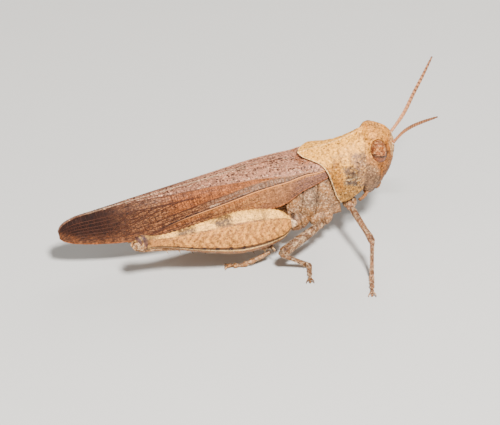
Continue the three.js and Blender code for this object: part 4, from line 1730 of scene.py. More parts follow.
@dataclass
class Trunk:
    """The neck, the deep thorax that carries wings and hind legs, and the ringed abdomen."""

    stance: Stance
    columns: int = 128
    ring_length: float = 2.35
    ring_step: float = 0.13

    def build(self, flank: Material, belly: Material, grain: NodeTree) -> None:
        """Builds the trunk from front to back.

        Args:
            flank: The finish of the thorax.
            belly: The finish of the abdomen.
            grain: The recipe for beaded shell.
        """
        self.add_neck(flank, grain)
        self.add_thorax(flank, grain)
        self.add_abdomen(belly, grain)
        self.add_prongs(belly)

    def add_neck(self, finish: Material, grain: NodeTree) -> None:
        """Adds the neck, which the saddle plate mostly hides.

        Args:
            finish: Its finish.
            grain: The recipe for beaded shell.
        """
        x = np.linspace(NECK_JOIN + 0.1, 8.2, 60)
        wide = smooth((NECK_JOIN, 2.9), (6, 2.8), (8.2, 2.3))(x)
        low = mix(-9.6, -7.6, (x - NECK_JOIN) / (8.2 - NECK_JOIN))
        half = [(0, -1.4), (wide * 0.75, -2.2), (wide, -4.6), (wide * 0.85, low + 1.2), (0, low)]
        points = trunk(x, half, self.columns)
        fold = np.sin(points[..., 0] * 5.5)
        groove = bell(points[..., 0] - 6.6, 0.1)
        points = raised(points, 0.07 * fold * ease(points[..., 0], 7.0, 7.8) - 0.1 * groove)
        marks = {"groove": groove, "grain": np.full(groove.shape, 0.6)}
        skins = [Skin(points, marks)]
        show("neck", skins, self.stance.body, finish, "thorax_shell", "prothorax", recipe=grain)

    def add_thorax(self, finish: Material, grain: NodeTree) -> None:
        """Adds the thorax with its slanting seams.

        Args:
            finish: Its finish.
            grain: The recipe for beaded shell.
        """
        x = crowd(WAIST, NECK_JOIN, 150)
        side = smooth((WAIST, 3.3), (-1.8, 3.6), (0.5, 3.75), (2.6, 3.65), (3.4, 3.45), (NECK_JOIN, 3.3))(x)
        upper = [(0, -1.9), (2, -2.4), (3.05, -3.7), (side - 0.1, -5.4)]
        half = [*upper, (side, -8.4), (2.8, -10.2), (0, -10.7)]
        points = trunk(x, half, 2 * self.columns)
        px, py, pz = points[..., 0], np.abs(points[..., 1]), points[..., 2]
        seams = [
            [(2.1, -2.6), (1.15, -5.9), (0.45, -8.6)],
            [(-0.4, -3.4), (-0.95, -5.8), (-1.7, -8.3)],
            [(-2.3, -8.2), (-3.2, -7.2), (-4.6, -6.4)],
        ]
        near = np.full(px.shape, 9.0)
        for seam in seams:
            for start, end in zip(seam, seam[1:]):
                near = np.minimum(near, to_line(px, pz, start, end))
        out = ease(py, 2.2, 2.8)
        groove = bell(near, 0.08) * out
        middle = bell(points[..., 1], 0.1) * ease(pz, -9.5, -10.2)
        lobes = 0.09 * bell(px - 2.1, 0.7) + 0.09 * bell(px + 0.2, 0.7) * ease(pz, -9.4, -8)
        lobes = lobes + 0.22 * ease(px, 1.0, 2.6) * ease(pz, -8.8, -7.6) * ease(pz, -2.8, -4.2)
        cross = bell(px - 1.0, 0.12) * ease(pz, -9.9, -10.3)
        height = out * (lobes + 0.06 * bell(near - 0.24, 0.12)) - 0.1 * groove - 0.1 * middle - 0.1 * cross
        marks = {"groove": np.clip(groove + middle + cross, 0, 1), "grain": 1 - 0.7 * groove}
        skins = [Skin(raised(points, height), marks)]
        beads = {"recipe": grain, "Depth": 0.05 * MM, "Size": 0.24 * MM, "Seed": 1.0}
        show("thorax_wall", skins, self.stance.body, finish, "thorax_shell", "thorax", **beads)

    def add_abdomen(self, finish: Material, grain: NodeTree) -> None:
        """Adds the abdomen, whose rings overlap backwards and fold in along each side.

        Args:
            finish: Its finish.
            grain: The recipe for beaded shell.
        """
        x = np.linspace(TAIL, WAIST + 0.6, 300)
        wide = smooth((TAIL, 0.9), (-23.4, 1.45), (-20, 2.05), (-14, 2.6), (-8, 2.75), (WAIST, 2.5))(x)
        top = smooth((TAIL, -5.9), (-23.4, -5.2), (-20, -4.3), (-14, -3.6), (-8, -3.2), (WAIST, -3.2))(x)
        low = smooth((TAIL, -7.5), (-23.4, -7.9), (-20, -8.3), (-14, -9.1), (-8, -9.6), (WAIST, -9.5))(x)
        half = [
            (0, top), (wide * 0.8, mix(low, top, 0.8)), (wide, mix(low, top, 0.5)),
            (wide * 0.7, mix(low, top, 0.12)), (0, low),
        ]
        points = trunk(x, half, self.columns)
        level = (2 * points[..., 2] - (top + low)[:, None]) / (top - low)[:, None]
        phase = ((WAIST - points[..., 0]) / self.ring_length + 0.05 * level) % 1
        fold = bell(level + 0.35, 0.12) * ease(np.abs(points[..., 1]), 0.8, 1.4)
        height = self.ring_step * phase**1.6 * ease(phase, 1.0, 0.94) - 0.06 - 0.16 * fold
        marks = {"ring": phase, "height": level, "groove": fold, "grain": 0.6 * (1 - fold)}
        skins = [Skin(raised(points, height), marks)]
        beads = {"recipe": grain, "Depth": 0.03 * MM, "Size": 0.22 * MM}
        show("belly_rings", skins, self.stance.body, finish, "belly_shell", "abdomen", **beads)

    def add_prongs(self, finish: Material) -> None:
        """Adds the four egg-laying prongs on their stump, and the pair of short tail feelers.

        Args:
            finish: Their finish.
        """
        skins = [Skin(ovoid((-24.95, 0, -6.7), (0.55, 0.75, 0.78), 30, 40))]
        for lift in (1, -1):
            for s in (1, -1):
                tip = -6.72 + 0.74 * lift
                controls = [(-24.6, 0.3 * s, -6.75 + 0.25 * lift), (-25.5, 0.34 * s, -6.75 + 0.36 * lift)]
                line = course([*controls, (-26.2, 0.28 * s, tip - 0.16 * lift), (-26.75, 0.2 * s, tip)], 40)
                share = np.linspace(0, 1, 40)
                girth = mix(0.4, 0.07, share**1.6)
                rings = swept(line, girth, girth * 0.8, (0, 0, 1), 24)
                teeth = (np.sin(share * 30) * ease(share, 0.3, 0.6))[:, None]
                skins.append(Skin(raised(rings, 0.03 * teeth)))
        for skin in skins:
            self.mark_belly(skin)
        show("egg_prongs", skins, self.stance.body, finish, "belly_shell", "ovipositor")
        for side in Side:
            s = side.value
            line = course([(-23.6, 1.5 * s, -6.1), (-24.5, 1.62 * s, -6.0), (-25.35, 1.6 * s, -5.98)], 30)
            girth = mix(0.32, 0.1, np.linspace(0, 1, 30) ** 1.5)
            skin = Skin(swept(line, girth, girth * 0.85, (0, 0, 1), 24))
            self.mark_belly(skin)
            name, node = f"tail_feeler_{side.word}", f"cercus_{side.word}"
            show(name, [skin], self.stance.body, finish, "belly_shell", node)

    @staticmethod
    def mark_belly(skin: Skin) -> None:
        """Gives a small part the marks that the belly's finish reads."""
        shape = skin.points.shape[:2]
        skin.marks = {"ring": np.full(shape, 0.3), "height": np.zeros(shape), "groove": np.zeros(shape)}


# ---------------------------------------------------------------- Wings


@dataclass(frozen=True)
class ForewingFinish:
    """Leathery brown, with a rosy dotted back field, an orange streak and a dark main vein."""

    brown: Colour = tone(148, 96, 58)
    chocolate: Colour = tone(92, 52, 32)
    tail: Colour = tone(32, 12, 6)
    rosy: Colour = tone(184, 126, 96)
    orange: Colour = tone(166, 90, 38)
    tan: Colour = tone(186, 124, 66)
    grey: Colour = tone(134, 104, 84)
    violet: Colour = tone(118, 80, 66)
    pale: Colour = tone(244, 200, 158)
    dark: Colour = tone(40, 20, 14)

    def make(self, stance: Stance) -> Material:
        """Makes the material.

        Args:
            stance: Where the body frame stands.

        Returns:
            The material.
        """
        paint = Paint("Forewing", stance)
        x = paint.x
        back, vein, edge = paint.marks("lines")
        share, run, fork = paint.marks("lie")
        wobble = paint.noise(0.7, 3.0) - 0.5
        flat = paint.join(x, run, 0.0)
        along = paint.join(x * 0.45, run * 2.2, 0.0)
        far = paint.mask(x + wobble * 4, -8.5, -18.0)
        tail = paint.mask(x + wobble * 3, -22.5, -30.5)
        field = paint.mask(back + wobble * 0.5, 0.12, -0.12)
        streak = paint.mask(back, -0.05, 0.12) * paint.mask(fork + wobble * 0.4, 0.12, -0.12)
        streak = streak * paint.mask(x + wobble * 3, -1.5, -4.0) * paint.mask(x + wobble * 4, -22.0, -17.0)
        strip = paint.mask(fork + wobble * 0.4, -0.12, 0.12) * paint.mask(vein, -0.08, -0.25)
        strip = strip * paint.mask(x + wobble * 3, -16.5, -9.0)
        band = paint.mask(vein, 0.04, 0.15) * paint.mask(vein + wobble * 0.5, 0.7, 0.35)
        root = paint.mask(x + wobble * 3, -5.0, -1.5) * paint.mask(edge + wobble, 1.6, 0.8)
        dots = paint.specks(0.46, 0.85, flat)
        dashes = paint.patches(0.45, 0.5, along)
        ridge = paint.mask(share, 0.06, 0.03) * paint.mask(x, -6.0, -12.0) * paint.mask(x, -33.0, -29.0)
        spot = paint.away((x + 13.4) * 0.5, (share - 0.65) * 9.0)
        colour = paint.layers(
            self.tan,
            (paint.patches(1.2, 0.5, flat) * 0.45, self.brown),
            (paint.patches(0.5, 0.45, flat) * 0.35, self.chocolate),
            (paint.mask(edge + wobble * 2, 1.7, 0.4) * paint.mask(x, -9.0, -6.0) * 0.7, self.violet),
            (paint.specks(0.4, 0.5, flat) * 0.4, self.chocolate),
            (paint.mask(x + wobble * 4, -4.0, -12.0) * paint.mask(vein, 0.6, -0.1), self.brown),
            (far, self.brown),
            (far * dashes * 0.7, self.chocolate),
            (paint.mask(x + wobble * 5, -18.0, -29.0) * 0.55, self.chocolate),
            (tail * paint.mask(edge + wobble * 2, 0.3, 2.0) * 0.95, self.tail),
            (far * paint.patches(0.5, 0.3, along) * paint.mask(edge + wobble, 3.2, 1.0) * 0.35, self.orange),
            (far * dashes * 0.45, self.tail),
            (paint.mask(x + wobble * 3, -26.5, -31.5) * paint.mask(edge + wobble, 0.8, 2.6) * 0.8, self.tail),
            (band * paint.mask(x, -24.0, -14.0) * 0.6, self.orange),
            (paint.mask(vein, -0.1, 0.15) * paint.mask(x + wobble * 3, -9.0, -4.0) * 0.9, self.brown),
            (strip * 0.85, self.grey),
            (strip * paint.specks(0.4, 0.6, flat) * 0.55, self.dark),
            (streak * 0.75, self.orange),
            (streak * dashes * 0.5, self.chocolate),
            (root * 0.6, self.chocolate),
            (paint.mask(vein, 0.1, 0.4) * paint.mask(x + wobble * 3, -3.5, -0.5) * 0.75, self.violet),
            (field * 0.94, self.rosy),
            (field * paint.mask(x + wobble * 4, -22.5, -30.5) * 0.9, self.tail),
            (field * dots * 0.9, self.dark),
            (field * paint.specks(0.5, 0.4, along) * 0.6, self.pale),
            (field * paint.zone(back, -0.55, -0.2, 0.1) * paint.specks(0.42, 0.5, flat) * 0.6, self.pale),
            (field * paint.zone(x + wobble, -0.5, 1.3, 0.4) * paint.patches(0.6, 0.5) * 0.5, self.orange),
            (paint.mask(spot + wobble * 0.9, 0.6, 0.1) * 0.4, self.pale),
            (paint.mask(run + wobble * 0.1, 0.3, 0.16) * paint.mask(x, -6.0, -16.0) * 0.35, self.rosy),
            (paint.mask(abs(vein + 0.15), 0.13, 0.06) * paint.mask(x, -26.0, -20.0) * 0.9, self.dark),
            (paint.zone(vein, 0.0, 0.35, 0.1) * paint.mask(x, -20.0, -14.0) * 0.6, self.tan),
            (paint.mask(edge, 0.22, 0.1) * 0.6, self.orange),
            (ridge * 0.5, self.pale),
        )
        mesh = paint.cells(0.36, paint.join(x * 0.7, run, 0.0), "DISTANCE_TO_EDGE")
        net = 1 - paint.mask(mesh, 0.02, 0.14)
        colour = paint.blend(net * (far * 0.12 + field * 0.15 + 0.3), colour, self.dark)
        roughness = 0.52 + wobble * 0.25 + tail * 0.35
        bump = net * 0.8 + paint.noise(0.12) * 0.4
        return paint.skin(paint.gritty(colour, 2.8, 0.8), roughness, bump, 0.04)


@dataclass(frozen=True)
class RibFinish:
    """Veins a little darker than the wing that they stand on, pale on the back field."""

    rosy: Colour = tone(196, 136, 102)
    bright: Colour = tone(214, 140, 78)
    tan: Colour = tone(166, 110, 70)
    brown: Colour = tone(112, 62, 36)
    dark: Colour = tone(56, 28, 18)

    def make(self, stance: Stance) -> Material:
        """Makes the material.

        Args:
            stance: Where the body frame stands.

        Returns:
            The material.
        """
        paint = Paint("Wing ribs", stance)
        low = paint.mask(paint.mark("back"), -0.1, 0.1)
        far = paint.mask(paint.x, -10.0, -20.0)
        colour = paint.layers(
            self.rosy,
            (low, self.tan),
            (low * paint.mask(paint.x, -6.0, -14.0), self.brown),
            (far * 0.7, self.dark),
            (paint.patches(0.4, 0.5) * 0.5, self.dark),
            (paint.mark("main") * paint.mask(paint.x, -22.0, -14.0) * 0.85, self.bright),
        )
        return paint.skin(colour, 0.42)


@dataclass(frozen=True)
class FanFinish:
    """Smoky, faintly yellow pleats."""

    smoke: Colour = tone(108, 84, 66)
    pale: Colour = tone(190, 164, 122)

    def make(self, stance: Stance) -> Material:
        """Makes the material.

        Args:
            stance: Where the body frame stands.

        Returns:
            The material.
        """
        paint = Paint("Folded wing", stance)
        crease, cloud = paint.mark("crease"), paint.noise(0.8) * 0.3
        colour = paint.layers(self.smoke, (crease, self.pale), (cloud, self.pale))
        return paint.skin(colour, 0.35, paint.noise(0.2), 0.02)


@dataclass
class WingForm:
    """The roof that a closed forewing makes, over x and the share down from its ridge."""

    root: float = 3.6
    tip: float = -36.0

    def __post_init__(self) -> None:
        """Sets out its profiles along x."""
        self.ridge = smooth(
            (self.root, -0.25), (2.4, -0.3), (1.2, -0.5), (0, -0.78), (-1.2, -0.47), (-2.6, 0.0),
            (-7, 0.26), (-12, 0.05), (-20, -0.22), (-30, -0.5), (-33, -0.65), (-34.6, -1.1),
            (-35.5, -1.7), (self.tip, -2.5),
        )
        self.low = smooth(
            (self.root, -3.2), (2.4, -3.5), (0.8, -3.8), (-0.9, -4.15), (-2.9, -5.1), (-4.6, -5.65),
            (-8, -5.9), (-15, -6.1), (-22, -6.1), (-27, -5.8), (-31, -5.2), (-34, -4.5), (-35.4, -3.85),
            (self.tip, -3.2),
        )
        self.roof = smooth(
            (self.root, 2.7), (2.4, 2.75), (0, 2.65), (-2.6, 2.85), (-6, 2.7), (-14, 1.8), (-21, 1.25),
            (-30, 0.85), (self.tip, 0.6),
        )
        self.drop = smooth(
            (self.root, 0.7), (2.4, 0.7), (1.2, 0.48), (0.2, 0.15), (-1.2, 0.6), (-2.6, 1.1), (-6, 1.2),
            (-14, 0.8), (-21, 0.62), (-30, 0.6), (-34, 0.5), (self.tip, 0.2),
        )
        self.flare = smooth(
            (self.root, 3.4), (2.4, 3.6), (0, 3.9), (-3, 4.05), (-6, 3.8), (-10, 3.65), (-14, 3.35),
            (-22, 2.8), (-30, 1.9), (self.tip, 0.95),
        )
        self.back_edge = smooth(
            (self.root, 0.58), (2.3, 0.57), (0.6, 0.52), (-1.2, 0.45), (-3.6, 0.36), (-6.4, 0.322),
            (-9.9, 0.318), (-13.4, 0.295), (-16.3, 0.29), (-18.7, 0.27), (-22, 0.22), (-25, 0.15),
            (-28, 0.1), (-32, 0.08), (self.tip, 0.06),
        )
        self.main_vein = smooth(
            (self.root, 0.62), (2.3, 0.61), (0.5, 0.58), (-1.4, 0.55), (-4.1, 0.525), (-5.9, 0.545),
            (-7.7, 0.572), (-9.6, 0.612), (-11.5, 0.65), (-13.6, 0.69), (-16.4, 0.736), (-18.8, 0.782),
            (-21.8, 0.87), (-24.1, 0.94), (-28, 1.0),
        )
        self.fork = smooth(
            (-1.5, 0.44), (-3.6, 0.38), (-7.3, 0.418), (-9.1, 0.452), (-11, 0.495), (-12.8, 0.525),
            (-17, 0.6), (-24, 0.72),
        )

    def at(self, x: Array, share: Array) -> Array:
        """Points of the left wing's outer face.

        Args:
            x: How far forward.
            share: How far down from the ridge.

        Returns:
            The points.
        """
        top, low, wide, flare = self.ridge(x), self.low(x), self.roof(x), self.flare(x)
        shoulder = np.maximum(top - self.drop(x), mix(top, low, 0.4))
        controls = [
            (0.1 + 0 * x, top),
            (wide, shoulder),
            ((wide + flare) / 2 + 0.2, (shoulder + low) / 2),
            (flare, low),
        ]
        return across_sections(x, controls, share)

    def lines(self, x: Array, share: Array, points: Array) -> dict[str, Array]:
        """Marks that place the wing's pattern.

        Args:
            x: How far forward.
            share: How far down from the ridge.
            points: The outer face there.

        Returns:
            The distances in millimetres from the back field's edge, the main vein and the lower edge, and
            the share and the run down from the ridge with the distance from the forked vein.
        """
        step = np.linalg.norm(np.diff(points, axis=1), axis=-1)
        run = np.concatenate([np.zeros((len(points), 1)), np.cumsum(step, axis=1)], axis=1)
        whole = run[:, -1:]
        lines = [(share - self.back_edge(x)) * whole, (share - self.main_vein(x)) * whole, whole - run]
        lie = [share + 0 * x, run, (share - self.fork(x)) * whole]
        return {"lines": np.stack(lines, axis=-1), "lie": np.stack(lie, axis=-1)}


@dataclass
class Forewing:
    """One leathery forewing: a thin sheet with its net of ribs."""

    stance: Stance
    form: WingForm
    side: Side
    rows: int = 330
    columns: int = 110
    thickness: float = 0.16
    branches: tuple[float, ...] = (0.47, 0.55, 0.62, 0.7, 0.78, 0.86)
    rib_points: int = 160
    rib_lift: float = 0.02
    cross_spacing: float = 0.34
    cross_missing: float = 0.25
    seed: int = 12

    def lapped(self, points: Array, share: Array) -> Array:
        """Slides the inner edge over, or under, the other wing's.

        Args:
            points: Points of the left wing, which are changed in place.
            share: How far down from the ridge each lies.

        Returns:
            The points on this wing's own side.
        """
        over = ease(share, 0.14, 0.0)
        left = self.side is Side.LEFT
        points[..., 1] += (-0.4 if left else -0.05) * over
        points[..., 2] += (0.0 if left else -0.12) * over
        points[..., 1] *= self.side.value
        return points

    def build(self, sheet_finish: Material, rib_finish: Material, recipe: NodeTree) -> None:
        """Builds the sheet and its ribs.

        Args:
            sheet_finish: The finish of the sheet.
            rib_finish: The finish of the ribs.
            recipe: The recipe for wing ribs.
        """
        x = crowd(self.form.tip, self.form.root, self.rows)[:, None]
        share = np.linspace(0, 1, self.columns)[None] + 0 * x
        x = x + 0 * share
        points = self.form.at(x, share)
        marks = self.form.lines(x, share, points)
        back, vein = marks["lines"][..., 0], marks["lines"][..., 1]
        height = 0.04 * bell(back, 0.2) * ease(x, -22, -16) + 0.07 * bell(vein, 0.16) * ease(x, -26, -20)
        height = height - 0.05 * bell(back - 0.5, 0.3) - 0.02
        points = raised(self.lapped(points, share), height, closed=False)
        depth = self.thickness * np.minimum(1, 0.35 + 3 * np.minimum(share, 1 - share))
        skins, word = [Skin.thin(points, depth, marks)], self.side.word
        show(f"forewing_{word}", skins, self.stance.body, sheet_finish, "forewing", f"tegmen_{word}")
        self.add_ribs(rib_finish, recipe)

    def long_lines(self) -> list[tuple[Array, Array, float]]:
        """Sets out the long ribs.

        Returns:
            Each rib's x, its share of the way down from the ridge, and its girth.
        """
        back, main, fork = self.form.back_edge, self.form.main_vein, self.form.fork
        ribs = [
            (3.2, -28.0, back, 0.04),
            (3.2, -26.5, main, 0.085),
            (1.8, -24.0, lambda x: back(x) * 0.55, 0.03),
            (1.6, -18.0, lambda x: back(x) * 0.8, 0.025),
            (1.6, -19.0, lambda x: back(x) * 0.27, 0.022),
            (-3.0, -24.0, fork, 0.05),
            (-16.0, -35.2, lambda x: mix(back(x), main(x), 0.34), 0.04),
            (-8.0, -33.5, lambda x: mix(fork(x), main(x), 0.5), 0.035),
            (2.6, -22.0, lambda x: mix(main(x), 1, 0.42), 0.03),
            (2.4, -18.0, lambda x: mix(main(x), 1, 0.72), 0.025),
        ]
        for k, level in enumerate(self.branches):
            start = -15 - 2 * k
            ribs.append((start, -35.3 + 0.25 * k, self.branch(start, level), 0.035))
        count = self.rib_points
        runs = [(np.linspace(start, end, count), where, girth) for start, end, where, girth in ribs]
        return [(x, np.clip(where(x), 0.015, 0.99), girth) for x, where, girth in runs]

    @staticmethod
    def branch(start: float, level: float) -> Profile:
        """A rib that swings from the middle of the wing to a share of the way down from the ridge."""
        return lambda x: mix(0.45, level, ease(x, start, start - 6))

    def add_ribs(self, finish: Material, recipe: NodeTree) -> None:
        """Lays the long ribs and the cross ribs between neighbours.

        Args:
            finish: Their finish.
            recipe: The recipe for wing ribs.
        """
        rng = np.random.default_rng(self.seed)
        runs = self.long_lines()
        x_all: list[Array] = [x for x, _, _ in runs]
        v_all: list[Array] = [v for _, v, _ in runs]
        girth = [np.full(len(x), g) * ease(np.linspace(1, 0, len(x)), 0, 0.12) + 0.012 for x, _, g in runs]
        main = [np.full(len(x), float(g > 0.08)) for x, _, g in runs]
        for x in np.arange(1.4, -34.8, -self.cross_spacing):
            here = [(xs, vs) for xs, vs, _ in runs if xs[-1] < x < xs[0]]
            levels = sorted([0.02, 0.985] + [float(np.interp(-x, -xs, vs)) for xs, vs in here])
            for low, high in zip(levels, levels[1:]):
                if not 0.03 < high - low < 0.6 or rng.random() < self.cross_missing:
                    continue
                start = x + rng.uniform(-0.15, 0.15)
                x_all.append(start + np.linspace(0, rng.uniform(-0.2, 0.3), 5))
                v_all.append(np.linspace(low, high, 5))
                girth.append(np.full(5, 0.017 + 0.008 * rng.random()))
                main.append(np.zeros(5))
        x, v = np.concatenate(x_all), np.concatenate(v_all)
        points = self.form.at(x, v)
        step = 0.02
        along = self.form.at(x + step, v) - self.form.at(x - step, v)
        around = self.form.at(x, v + step) - self.form.at(x, v - step)
        normal = unit(np.cross(along, around))
        normal = normal * np.where(normal[:, 2:] < 0, -1, 1)
        points = self.lapped(points, v) + normal * (1, self.side.value, 1) * self.rib_lift
        edges, offset = [], 0
        for run in x_all:
            edges += [(offset + k, offset + k + 1) for k in range(len(run) - 1)]
            offset += len(run)
        back = (v - self.form.back_edge(x)) * 6.0
        marks = {"girth": np.concatenate(girth) * MM, "back": back, "main": np.concatenate(main)}
        name = f"forewing_ribs_{self.side.word}"
        piece = new_piece(name, self.stance.body(points), marks, edges)
        settle(grow(piece, recipe, finish), "forewing")


@dataclass
class Hindwing:
    """One hind wing, folded like a fan under the forewing."""

    stance: Stance
    form: WingForm
    side: Side
    gap: float = 0.75
    thickness: float = 0.08
    pleats: float = 75
    pleat_height: float = 0.16

    def build(self, finish: Material) -> None:
        """Builds the pleated sheet.

        Args:
            finish: Its finish.
        """
        x = np.linspace(-33.6, -3.6, 200)[:, None]
        share = np.linspace(0.09, 0.6, 90)[None] + 0 * x
        x = x + 0 * share
        points = self.form.at(x, share)
        points = points - outward(points, closed=False) * self.gap
        wave = np.sin(share * self.pleats + 0.12 * x)
        points = raised(points, self.pleat_height * wave * ease(x, -33.4, -28), closed=False)
        points[..., 1] = np.maximum(points[..., 1], 0.09) * self.side.value
        skins = [Skin.thin(points, self.thickness + 0 * wave, {"crease": ease(wave, 0.5, 1.0)})]
        word = self.side.word
        show(f"hindwing_{word}", skins, self.stance.body, finish, "hindwing", f"hind_wing_{word}")


# ---------------------------------------------------------------- Legs


@dataclass(frozen=True)
class LegFinish:
    """Tan horn, mottled darker, with its own base tone for each pair of legs."""

    name: str
    base: Colour = tone(168, 118, 80)
    pale: Colour = tone(232, 192, 146)
    dark: Colour = tone(60, 36, 24)
    mottled: float = 0.5

    def make(self, stance: Stance) -> Material:
        """Makes the material.

        Args:
            stance: Where the body frame stands.

        Returns:
            The material.
        """
        paint = Paint(self.name, stance)
        share, height, _ = paint.marks("lie")
        cloud = paint.noise(0.9, 4.0)
        colour = paint.layers(
            self.base,
            (paint.patches(0.9, 0.5) * self.mottled, self.dark),
            (paint.patches(0.5, 0.4) * 0.45, self.pale),
            (paint.specks(0.3, 0.5) * self.mottled, self.dark),
            (paint.mask(abs(height), 0.8, 0.97) * 0.3, self.dark),
            (paint.mask(share, 0.92, 1.0) * 0.4, self.dark),
        )
        colour = paint.gritty(colour, 3.0, 0.9)
        return paint.skin(colour, 0.45 + cloud * 0.15, paint.cells(0.16) + paint.noise(0.08), 0.03)


@dataclass(frozen=True)
class ThighFinish:
    """Cream upper area with grey patches, a tan herringbone below it and dark spots along the lower edge."""

    cream: Colour = tone(252, 184, 88)
    grey: Colour = tone(84, 56, 32)
    tan: Colour = tone(206, 134, 58)
    shadow: Colour = tone(122, 76, 44)
    dark: Colour = tone(44, 24, 16)
    purple: Colour = tone(78, 50, 48)
    yellow: Colour = tone(240, 194, 124)

    def make(self, stance: Stance) -> Material:
        """Makes the material.

        Args:
            stance: Where the body frame stands.

        Returns:
            The material.
        """
        paint = Paint("Hind thigh", stance)
        share, height, _ = paint.marks("lie")
        wobble = paint.noise(0.8, 4.0) - 0.5
        place = share + wobble * 0.09
        upper = paint.mask(height + wobble * 0.3, 0.52, 0.66)
        grey = paint.zone(place, 0.385, 0.49, 0.015) + paint.zone(place, 0.62, 0.73, 0.02)
        grey = grey + paint.zone(place, 0.15, 0.2, 0.015) * 0.6 + paint.mask(place, 0.8, 0.88) * 0.8
        under = paint.mask(height + wobble * 0.1, -0.66, -0.72)
        rows = share * RIB_COUNT + abs(height + 0.06) * RIB_SLANT
        wave = paint.maths("SINE", rows * math.tau) * 0.5 + 0.5
        ribs = (1 - wave) * (1 - wave) * paint.mask(abs(height + 0.05), 0.6, 0.44)
        ribs = ribs * paint.mask(share, 0.86, 0.74)
        beat = paint.maths("PINGPONG", share - 0.324 + wobble * 0.012, 0.0405)
        spots = paint.mask(beat, 0.017, 0.006) * paint.mask(abs(height + 0.64), 0.13, 0.07)
        spots = spots * paint.mask(abs(share - 0.53), 0.25, 0.22)
        knee = paint.mask(share + wobble * 0.02, 0.885, 0.92)
        seam = paint.mask(abs(height - 0.57 + wobble * 0.1), 0.07, 0.02)
        arc = share - height * height * 0.02
        arcs = paint.mask(abs(arc - 0.93), 0.018, 0.008) + paint.mask(abs(arc - 0.965), 0.014, 0.006)
        colour = paint.layers(
            self.tan,
            (paint.patches(1.0, 0.5) * 0.25, self.shadow),
            (ribs * 0.45, self.shadow),
            (ribs * paint.patches(0.6, 0.5) * 0.35, self.dark),
            (paint.patches(0.45, 0.35) * 0.22, self.cream),
            (paint.mask(share + height * 0.06, 0.74, 0.84) * 0.45, self.shadow),
            (upper * 0.95, self.cream),
            (upper * paint.specks(0.3, 0.5) * 0.5, self.shadow),
            (upper * paint.maths("MINIMUM", grey, 1.0) * (paint.patches(0.5, 0.6) * 0.35 + 0.6), self.grey),
            (under * 0.8, self.shadow),
            (paint.zone(height, -0.8, -0.71, 0.03) * 0.8, self.yellow),
            (paint.mask(abs(height + 0.64 + wobble * 0.04), 0.11, 0.05) * 0.9, self.dark),
            (spots * 0.9, self.dark),
            (seam * (paint.patches(0.6, 0.6) * 0.5 + 0.3), self.shadow),
            (knee * 0.85, self.grey),
            (knee * paint.patches(0.6, 0.3) * 0.4, self.cream),
            (knee * paint.maths("MINIMUM", arcs, 1.0) * 0.85, self.purple),
            (paint.specks(0.34, 0.4) * 0.55, self.dark),
        )
        colour = paint.gritty(colour, 2.6, 1.1)
        return paint.skin(colour, 0.5 + wobble * 0.2, paint.cells(0.22) + paint.noise(0.1), 0.035)


@dataclass(frozen=True)
class SpineFinish:
    """Horn thorns with dark tips."""

    horn: Colour = tone(206, 160, 108)
    dark: Colour = tone(40, 24, 18)

    def make(self, stance: Stance) -> Material:
        """Makes the material.

        Args:
            stance: Where the body frame stands.

        Returns:
            The material.
        """
        paint = Paint("Spines", stance)
        colour = paint.layers(self.horn, (paint.mask(paint.mark("tip"), 0.35, 0.75), self.dark))
        colour = paint.blend(paint.noise(0.2) * 0.2, colour, self.dark)
        return paint.skin(colour, 0.3)


@dataclass(frozen=True)
class BristleFinish:
    """Fine pale bristles."""

    pale: Colour = tone(226, 204, 174)
    brown: Colour = tone(140, 104, 74)

    def make(self, stance: Stance) -> Material:
        """Makes the material.

        Args:
            stance: Where the body frame stands.

        Returns:
            The material.
        """
        paint = Paint("Bristles", stance)
        return paint.skin(paint.blend(paint.noise(0.5) * 0.8, self.pale, self.brown), 0.5)


@dataclass(frozen=True)
class LegKit:
    """The finishes and recipes that all legs share."""

    skin: Material
    hip: Material
    spine: Material
    bristle: Material
    thorns: NodeTree
    coat: NodeTree


